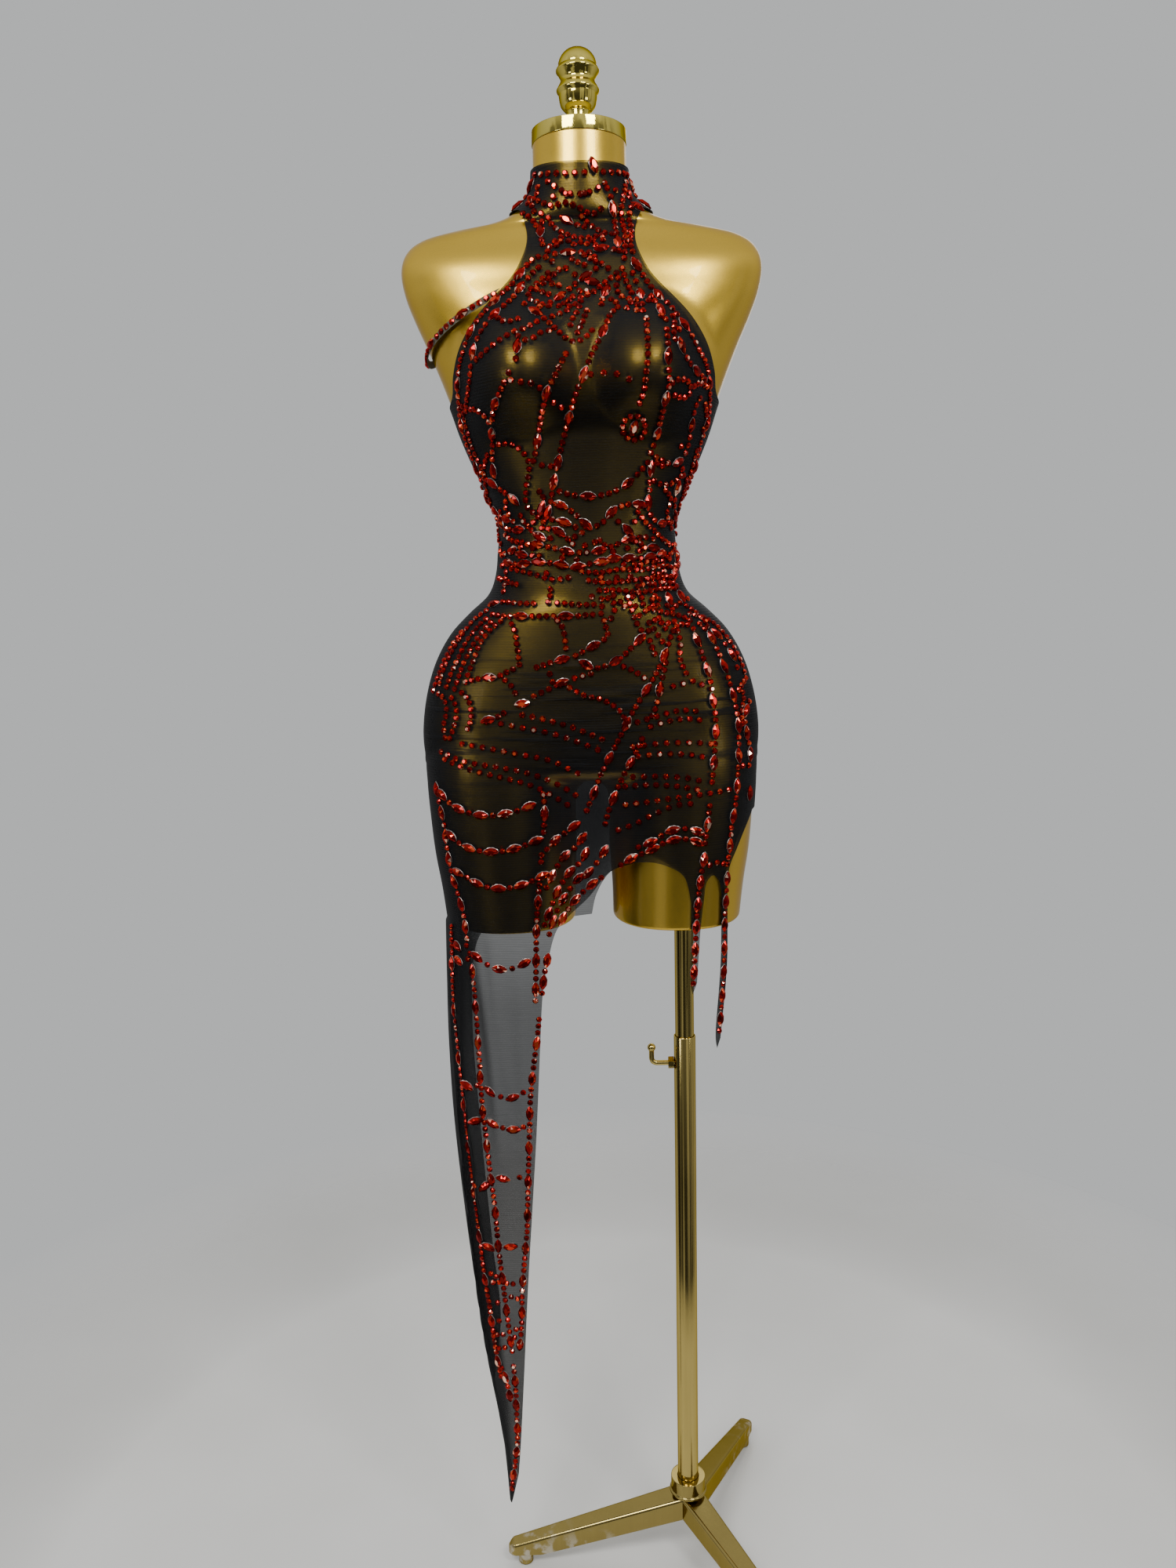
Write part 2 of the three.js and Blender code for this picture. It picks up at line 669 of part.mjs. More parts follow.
function hub() {
  const bore = TUBE.radius + SEAT_GAP;
  return turned([
    [0, HUB.base],
    [HUB.stem, HUB.base],
    [HUB.stem, HUB.flangeLow],
    [HUB.flange, HUB.flangeLow],
    [HUB.flange, HUB.flangeHigh],
    [HUB.collar, HUB.flangeHigh + HUB.bevel],
    [HUB.collar, HUB.top - HUB.bevel],
    [HUB.collar - HUB.bevel, HUB.top],
    [bore, HUB.top],
    [bore, HUB.floor],
    [0, HUB.floor],
  ]);
}

// A leg along +X: a tapered bar with rounded upper edges and a rounded end, its root cut to a point
// of 120 degrees round the hub's stem so that the legs close up under the flange.
function leg() {
  const end = LEG.reach - LEG.tipWidth / 2;
  const stations = [0, LEG_TIP.seat, FOOT.at + FOOT.radius + 1, end, end + 5, end + 8.2, LEG.reach];
  const rings = stations.map((x) => {
    const t = Math.min(1, x / LEG_TIP.seat);
    const past = Math.max(0, x - end) / (LEG.tipWidth / 2);
    const round = Math.sqrt(Math.max(0.04, 1 - past * past));
    const half = (THREE.MathUtils.lerp(LEG.rootWidth, LEG.tipWidth, Math.min(1, x / end)) / 2) * round;
    const low = THREE.MathUtils.lerp(LEG.rootBase, LEG_TIP.base + SEAT_GAP, t);
    const high = THREE.MathUtils.lerp(LEG.rootTop, LEG_TIP.top, Math.min(1, x / end)) - 6 * past * past;
    const edge = Math.min(4.5, half * 0.8);
    const profile = [[-half, low], [half, low]];
    for (const turn of [0, 30, 60, 90]) {
      const angle = THREE.MathUtils.degToRad(turn);
      profile.push([half - edge + edge * Math.cos(angle), high - edge + edge * Math.sin(angle)]);
    }
    for (const turn of [90, 120, 150, 180]) {
      const angle = THREE.MathUtils.degToRad(turn);
      profile.push([-half + edge + edge * Math.cos(angle), high - edge + edge * Math.sin(angle)]);
    }
    return profile.map(([y, z]) => new THREE.Vector3(x, y, z));
  });
  const wedge = new THREE.Shape();
  wedge.moveTo(SEAT_GAP, 0);
  wedge.lineTo(SEAT_GAP + 80, -80 * Math.sqrt(3));
  wedge.lineTo(400, -200);
  wedge.lineTo(400, 200);
  wedge.lineTo(SEAT_GAP + 80, 80 * Math.sqrt(3));
  const sector = new THREE.ExtrudeGeometry(wedge, { depth: 200, bevelEnabled: false });
  const stem = cylinder(HUB.stem + SEAT_GAP, 0, 200);
  return geometryFrom(solidFrom(loft(rings)).intersect(solidFrom(sector)).subtract(solidFrom(stem)));
}

function foot() {
  const { radius, bevel } = FOOT;
  return turned([
    [0, 0], [radius - bevel, 0], [radius, bevel], [radius, LEG_TIP.base], [0, LEG_TIP.base],
  ], 18);
}

// ---------------------------------------------------------------- the whole object

const object = new THREE.Group();

function place(name, geometry, material, parent = object) {
  const piece = new THREE.Mesh(geometry, material);
  piece.name = name;
  parent.add(piece);
  return piece;
}

place('dress_front', dressFront(), mesh);
place('dress_back', dressBack(), mesh);
place('dress_arm_strap', armStrap(), mesh);
place('form_body', formBody(), goldPaint);
place('neck_cap', neckCap(), goldPlate);
place('finial', finial(), goldPlate);
place('mast', cylinder(MAST.radius, MAST.bottom, MAST.top), brass).position.x = POLE.x;
place('outer_tube', outerTube(), brass);
place('lock_nut', lockNut(), brass);
place('lock_lever', lockLever(), brass);
place('hub', hub(), brass).position.x = POLE.x;

const legGeometry = leg();
['a', 'b', 'c'].forEach((letter, i) => {
  const arm = new THREE.Group();
  arm.position.x = POLE.x;
  arm.rotation.z = THREE.MathUtils.degToRad(LEG.first + (i * 360) / LEG.count);
  object.add(arm);
  place(`leg_${letter}`, legGeometry, brass, arm);
  place(`foot_${letter}`, foot(), brass, arm).position.x = FOOT.at;
});

object.updateMatrixWorld(true);
const footprint = new THREE.Box3().setFromObject(object, true).getCenter(new THREE.Vector3());
object.position.set(-footprint.x, -footprint.y, 0);

export default object;
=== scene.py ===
"""A sheer mesh stage dress trimmed with strands of red crystals, worn by a gold display form on a brass stand."""

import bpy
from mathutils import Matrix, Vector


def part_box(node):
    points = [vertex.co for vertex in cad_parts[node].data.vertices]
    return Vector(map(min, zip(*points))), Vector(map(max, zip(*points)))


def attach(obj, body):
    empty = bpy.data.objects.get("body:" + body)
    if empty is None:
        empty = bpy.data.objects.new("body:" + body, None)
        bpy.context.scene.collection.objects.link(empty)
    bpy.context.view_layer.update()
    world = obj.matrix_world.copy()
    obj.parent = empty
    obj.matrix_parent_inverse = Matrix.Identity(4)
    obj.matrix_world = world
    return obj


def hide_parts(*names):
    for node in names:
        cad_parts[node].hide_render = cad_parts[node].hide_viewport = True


bl_info = {
    "name": "Crystal mesh stage dress",
    "version": (1, 0, 0),
    "blender": (4, 5, 0),
    "location": "View3D > Sidebar > Stage dress",
    "description": "Builds a crystal-trimmed mesh dress, its display form and its stand",
    "category": "Add Mesh",
}

import math

import bpy
import numpy as np
from mathutils import Matrix

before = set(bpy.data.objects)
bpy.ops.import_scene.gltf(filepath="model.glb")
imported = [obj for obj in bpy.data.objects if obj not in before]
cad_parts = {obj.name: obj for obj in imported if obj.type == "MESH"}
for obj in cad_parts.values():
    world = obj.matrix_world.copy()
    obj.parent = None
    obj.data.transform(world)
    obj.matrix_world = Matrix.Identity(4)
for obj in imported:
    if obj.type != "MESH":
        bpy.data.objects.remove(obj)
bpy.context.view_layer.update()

# ---------------------------------------------------------------- sizes, in millimetres
# X runs to the wearer's left, which is the right as seen from the front, Y to the back and Z up. The torso's
# axis is X = 0, Y = 0 until a piece is put in its place.

POLE_X = 102.5  # the pole stands under one thigh stub
_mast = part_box("mast")
TORSO_AXIS = np.array([(_mast[0][0] + _mast[1][0]) / 2 - POLE_X / 1000, (_mast[0][1] + _mast[1][1]) / 2, 0.0])

MM = 0.001
NECK_TOP = 1652.0
STUB_END = 830.0
PART_GAP = 0.3  # between neighbouring pieces

# The form's rows and the points on the front and the back of a row, the same for a thigh stub, the rounding of
# the stubs' lower edge, the foot of the pole's socket, and the heights between which the joins are smoothed.
FORM = {"rows": 230, "front": 100, "back": 84, "stub_rows": 66, "stub": 56, "edge": 4.0, "socket": 820.0,
        "joins": (940, 985, 1035, 1085), "smoothings": 90}

# One level section a row: height, half width, depth to the front, depth to the back, squareness.
TORSO = np.array([
    (1652, 48.5, 48.5, 48.5, 2), (1642, 48.5, 48.5, 48.5, 2), (1625, 49, 48.5, 49, 2),
    (1606, 51.5, 49, 53, 2), (1590, 64, 51, 60, 1.9), (1578, 86, 51, 65, 1.8), (1572, 112, 49, 64, 1.7),
    (1568, 142, 46, 61, 1.7), (1561, 168, 48, 61, 1.9), (1549, 183.5, 54, 65, 2.2), (1530, 189.5, 67, 71, 2.5),
    (1505, 186, 76, 78, 2.5), (1480, 177, 85, 83, 2.4), (1450, 164, 91, 86, 2.3), (1420, 152, 93, 85, 2.3),
    (1390, 141, 92, 82, 2.2), (1360, 131, 89, 78, 2.2), (1330, 118.5, 85, 75, 2.2), (1300, 104.5, 82, 73, 2.2),
    (1270, 93.5, 80, 72, 2.2), (1240, 95, 80, 74, 2.2), (1212, 99, 81, 77, 2.2), (1192, 108, 83, 81, 2.2),
    (1174, 128, 86, 87, 2.3), (1152, 149.5, 88, 95, 2.3), (1122, 167, 90, 105, 2.4), (1088, 178, 91, 113, 2.5),
    (1052, 183.5, 91, 118, 2.6), (1024, 183, 89, 116, 2.6), (1006, 178, 84, 109, 2.5), (995, 146, 68, 89, 2.3),
    (989, 88, 42, 54, 2),
], dtype=float)

# Height, distance from the torso's axis, half width, front, back, squareness.
STUB = np.array([
    (1066, 97, 70, 74, 88, 2.2), (1022, 99.5, 81.5, 84, 104, 2.3), (990, 99.5, 82, 87, 105, 2.3),
    (950, 99, 80.5, 87, 101, 2.2), (910, 97.5, 78.5, 85, 96, 2.2), (870, 95.5, 74.5, 82.5, 91, 2.2),
    (830, 93.5, 72, 80, 87, 2.2),
], dtype=float)

# The section that the long point hangs round: height, x, y, half width, front, back, squareness.
POINT = np.array([
    (830, -94.5, 0, 73.5, 80, 87, 2.2), (770, -96, -2, 73, 77, 72, 2.2), (690, -98.5, -6, 71, 70, 52, 2.2),
    (600, -101.5, -13, 65, 60, 36, 2.2), (500, -103.5, -21, 55, 49, 26, 2.2), (400, -105, -29, 43, 38, 19, 2.2),
    (300, -105, -36, 28.5, 27, 13, 2.2), (200, -105, -42, 15, 16, 8, 2.2), (96, -107, -46, 6, 8, 4, 2.2),
], dtype=float)

CUP = {"x": 72, "z": 1406, "out": 38, "across": 68, "above": 88, "below": 60}

# Outlines in X and Z. The armhole is the same on both sides, for the front and the back.
ARMHOLE = np.array([
    (90, 1588), (64, 1583), (57, 1566), (54.5, 1548), (58, 1530), (69.5, 1508), (88, 1487.5), (109, 1464),
    (125, 1440), (134, 1416), (138, 1397), (152, 1385),
], dtype=float)
COLLAR_SIDE, COLLAR_MIDDLE = 1637.0, 1622.0
OUTSIDE = 260.0  # a place in X past the sides of the form
FRONT_HEM = [
    [(OUTSIDE, 958), (176, 956)],
    [(176, 956), (165, 937), (156, 919), (147, 899), (144.5, 878)],
    [(144.5, 878), (145, 790), (136.5, 704)],
    [(136.5, 704), (132.5, 693)],
    [(132.5, 693), (131, 715), (137, 790), (138, 868)],
    [(138, 868), (135, 884), (128, 892), (120.5, 884), (118, 866)],
    [(118, 866), (114, 830), (110, 772)],
    [(110, 772), (105, 759)],
    [(105, 759), (102.5, 778), (103.5, 830), (104, 862)],
    [(104, 862), (97, 891), (79, 904), (56, 909.5), (33, 906), (14, 897), (-6, 872), (-28, 851), (-43, 832),
     (-53, 795), (-59, 760), (-64, 690), (-70, 600), (-78, 500), (-86, 400), (-93, 300), (-100, 205), (-104, 160)],
    [(-104, 160), (-114, 116)],
    [(-114, 116), (-OUTSIDE, 116)],
]
BACK_HEM = [
    [(OUTSIDE, 958), (176, 956)],
    [(176, 956), (150, 925), (105, 896), (60, 880), (22, 858), (4, 832), (-3, 806)],
    [(-3, 806), (-60, 801), (-110, 802), (-143, 780), (-149, 690), (-141, 560), (-131, 430), (-123, 340),
     (-131, 270)],
    [(-131, 270), (-OUTSIDE, 270)],
]

CLOTH_GAP = 1.9  # from the form's skin to the inside of the cloth
CLOTH_WALL = 0.7
CLOTH_OUT = CLOTH_GAP + CLOTH_WALL
SEAM_GAP = 0.2
SHEET_TOP = 1646.0
FINE_ROWS = (1000, 1140)  # heights between which a panel's rows lie closer, for the fine creases
PAST_SEAM = 60  # how far a panel's outline is pushed past the side seams before it trims the cloth
PATTERN_FAR = 300  # and how far it reaches in front of or behind the torso's axis

# Creases of the front panel: where each starts and ends as a distance round the cloth from the middle
# of the front and a height, how far it bows up, its half width and its height off the cloth.
FRONT_CREASES = [
    (-66, 1128, 20, 1121, -5, 2.6, 1.3), (-40, 1117, 52, 1112, 6, 3.0, 1.5), (-72, 1104, 8, 1099, 5, 2.4, 1.1),
    (-18, 1093, 66, 1097, -5, 3.2, 1.6), (-58, 1082, 44, 1083, 7, 2.6, 1.4), (-84, 1070, -12, 1066, -4, 2.8, 1.1),
    (-6, 1069, 74, 1073, 5, 2.6, 1.3), (-44, 1055, 30, 1058, -4, 3.0, 1.5), (8, 1047, 80, 1052, 6, 2.5, 1.0),
    (-70, 1040, 6, 1038, 5, 2.6, 1.1), (-30, 1029, 48, 1034, -5, 3.0, 1.2), (-88, 1018, -30, 1012, 4, 2.6, 0.8),
    (20, 1017, 92, 1024, 4, 2.6, 0.9), (-130, 1236, -52, 1186, 8, 4.2, 2.0), (-112, 1252, -36, 1214, -7, 3.4, 1.4),
    (-84, 1206, 10, 1188, 6, 4.6, 1.7), (130, 1240, 62, 1197, 7, 3.8, 1.5), (34, 1208, 96, 1184, -6, 3.6, 1.2),
    (-104, 1182, -24, 1172, -5, 3.2, 1.0), (-60, 1560, -18, 1536, 5, 2.8, 0.9), (58, 1556, 14, 1532, -5, 2.6, 0.9),
    (-44, 1528, 30, 1520, -6, 2.4, 0.8), (-30, 1512, 38, 1508, 6, 2.6, 0.7), (-20, 1494, 4, 1452, 3, 2.8, 0.9),
    (22, 1496, 8, 1446, -3, 2.6, 0.8), (-8, 1442, -3, 1380, 2, 3.2, 1.0), (-52, 1602, 52, 1606, 3, 2.2, 0.5),
    (-10, 1016, -16, 892, 4, 4.4, 2.2), (4, 1012, 2, 906, -3, 3.8, 1.8), (16, 1004, 14, 916, 3, 4.0, 1.5),
    (-24, 986, -34, 872, 3, 3.4, 1.1), (-150, 1150, -128, 1090, 5, 3.4, 0.9), (168, 1146, 150, 1084, -5, 3.4, 0.9),
]

# Long soft folds down the free cloth of the point, in the same form.
POINT_FOLDS = [
    (-172, 838, -128, 300, 9, 5.6, 5.2), (-152, 850, -120, 430, -7, 4.8, 4.2), (-186, 800, -134, 250, 6, 4.0, 3.2),
    (-134, 838, -112, 560, 5, 5.4, 2.4), (-164, 700, -122, 190, -5, 4.2, 3.6), (-112, 830, -100, 640, -4, 6.5, 1.5),
    (-84, 820, -88, 560, 3, 7.5, 1.2), (-66, 700, -86, 380, -3, 6.0, 1.0), (-146, 620, -112, 240, 4, 3.6, 2.4),
]
BACK_CREASES = [
    (-60, 1118, 50, 1108, 6, 3.4, 1.2), (-30, 1090, 80, 1094, -5, 3.4, 1.3), (-84, 1062, 20, 1058, 5, 3.0, 1.1),
    (-40, 1030, 66, 1036, 6, 3.2, 1.1), (-110, 1234, -30, 1196, 6, 3.8, 1.4), (112, 1230, 26, 1190, -6, 3.8, 1.4),
    (2, 1010, -4, 872, 3, 4.4, 1.9), (-14, 1004, -24, 850, -3, 4.2, 1.5), (-12, 1490, 8, 1440, 3, 3.0, 0.8),
]

# The cloth pieces: the side of the form (-1 for the front), the columns, the distance between rows and between
# fine rows, the foot of the sheet, and the flat size and area as cut, in metres.
FRONT = {"side": -1, "columns": 112, "apart": 5.0, "close": 3.0, "foot": 100, "flat": (0.60, 1.53), "area": 0.375,
         "hem": FRONT_HEM, "creases": FRONT_CREASES + POINT_FOLDS}
BACK = {"side": 1, "columns": 84, "apart": 6.0, "close": 4.0, "foot": 250, "flat": (0.58, 1.38), "area": 0.345,
        "hem": BACK_HEM, "creases": BACK_CREASES}
STRAP = {"width": 8.0, "low": CLOTH_GAP + 2.8, "high": CLOTH_GAP + 3.6, "z": 1439.0, "rise": 55.0,
         "reach": math.radians(72), "rows": 161, "sides": 16, "flat": (0.010, 0.30), "area": 0.0024,
         "row_gap": 2.2, "strand": ("rrrrn", 1.4), "trimmed": 0.93}

MAST = {"radius": 11.0, "bottom": 300.0, "top": 980.0}
TUBE = {"radius": 12.7, "bore": 11.5, "bottom": 60.3, "top": 681.0}
LEG = {"first": 183.3, "reach": 226.0, "root": 32.0, "tip": 19.0, "root_top": 85.0, "root_base": 57.0,
       "tip_top": 29.0, "tip_base": 14.3, "level_from": 185.0, "droop": 6.0, "edge": 4.5}
FOOT = {"out": 205.0, "radius": 9.0, "height": 14.0}
LOCK = {"z": 647.5, "rod": 3.0, "hole": 3.3, "elbow": 63.5, "bend": 7.0, "rise": 17.0, "ball": 4.8,
        "ball_above": 2.0}
CAP = {"radius": 49.3, "height": 14.0}

# Profiles, as radius and height: the hub's, and the finial's, whose stem has eased corners and whose bulb and
# ribs are smooth curves under a dome. The nut's rows are the distance from the tube and the greatest radius.
HUB_STEM = 15
HUB = [(0, 56), (HUB_STEM, 56), (HUB_STEM, 85.3), (23, 85.3), (23, 87), (22.6, 88), (21.4, 88.6), (21.2, 90),
       (21.2, 105), (TUBE["radius"] + PART_GAP, 105), (TUBE["radius"] + PART_GAP, 60), (0, 60)]
STEM = [(0, 0), (15.6, 0), (15.6, 6), (13.6, 8.5), (11.8, 9.5), (11.8, 19), (14.6, 20)]
BULB = [(14.6, 20), (18, 24), (19.6, 30), (20.2, 35)]
RIBS = [(20.2, 35), (22.2, 38.5), (21.6, 41), (18.6, 46.5), (18.2, 50), (20.2, 54), (22.4, 57.2), (22, 59.4),
        (20.2, 62)]
DOME = {"radius": 20.2, "foot": 62.0, "height": 18.5}
NUT = [(0, 6.6), (0, 7.0), (0.5, 7.6), (6.0, 7.6), (6.5, 7.0), (6.5, 6.6)]
NUT_FLAT = 6.5  # from the nut's axis to its flats

# Stones, round (r) and pointed (n): their name, size, height off the cloth, the room that each takes up along
# its strand, how far it may turn, and the discs that keep later stones away, each a place along it and a radius.
STONES = {
    "r": {"label": "round", "long": 6.8, "high": 2.7, "base": 0.15, "room": 6.9, "turn": math.pi,
          "discs": ((0, 3.1), (0, 3.1), (0, 3.1))},
    "n": {"label": "long", "long": 17.4, "wide": 9.2, "high": 3.6, "base": 0.5, "room": 17.2, "turn": 0.06,
          "discs": ((-5, 2.5), (0, 4.2), (5, 2.5))},
}
STONE_FOOT, STONE_GIRDLE = 0.94, 0.3  # a stone's size at its foot, and the height of its widest level
STONE_TILT = 0.05
STRAND_PAST = 4  # how far the last stone's room may reach past the end of its strand
OVERLAP = 1.6  # how deep two stones' discs may reach into each other
EDGE_MARGIN = 0.6  # from a stone's middle to the cloth's edge
# A pale setting under each pointed stone, larger and moved up the cloth so that it shows as a crescent along the
# stone's upper edge: a painted highlight. Its growth in length and width, its height, lift and shift up the cloth.
HIGHLIGHT_SETTING = {"longer": 0.5, "wider": 0.3, "high": 0.5, "base": 0.1, "above": 0.5}
# Each facet's painted light, as a depth of colour: the range of a stone's own, its share on the low sides (painted
# shade), the spread from facet to facet, and how often and how much a facet flashes (painted glints).
FACET_LIGHT = {"own": (0.3, 0.58), "sides": 0.3, "spread": 0.2, "flashes": 0.06, "flash": 0.45}

# The lights: where each stands and aims, in metres from the torso's foot, its size and its power.
LIGHTS = {
    "key_left": ((-0.75, -1.5, 2.35), (0, 0, 1.3), 0.75, 30),
    "key_right": ((0.8, -1.45, 2.4), (0, 0, 1.3), 0.6, 23),
    "low_left": ((-1.5, -1.25, 1.25), (0, 0, 1.1), 0.5, 4.5),
    "low_right": ((1.6, -1.15, 1.3), (0, 0, 1.1), 0.5, 4),
    "behind": ((0.4, 1.7, 2.0), (0, 0, 1.1), 1.2, 6),
}

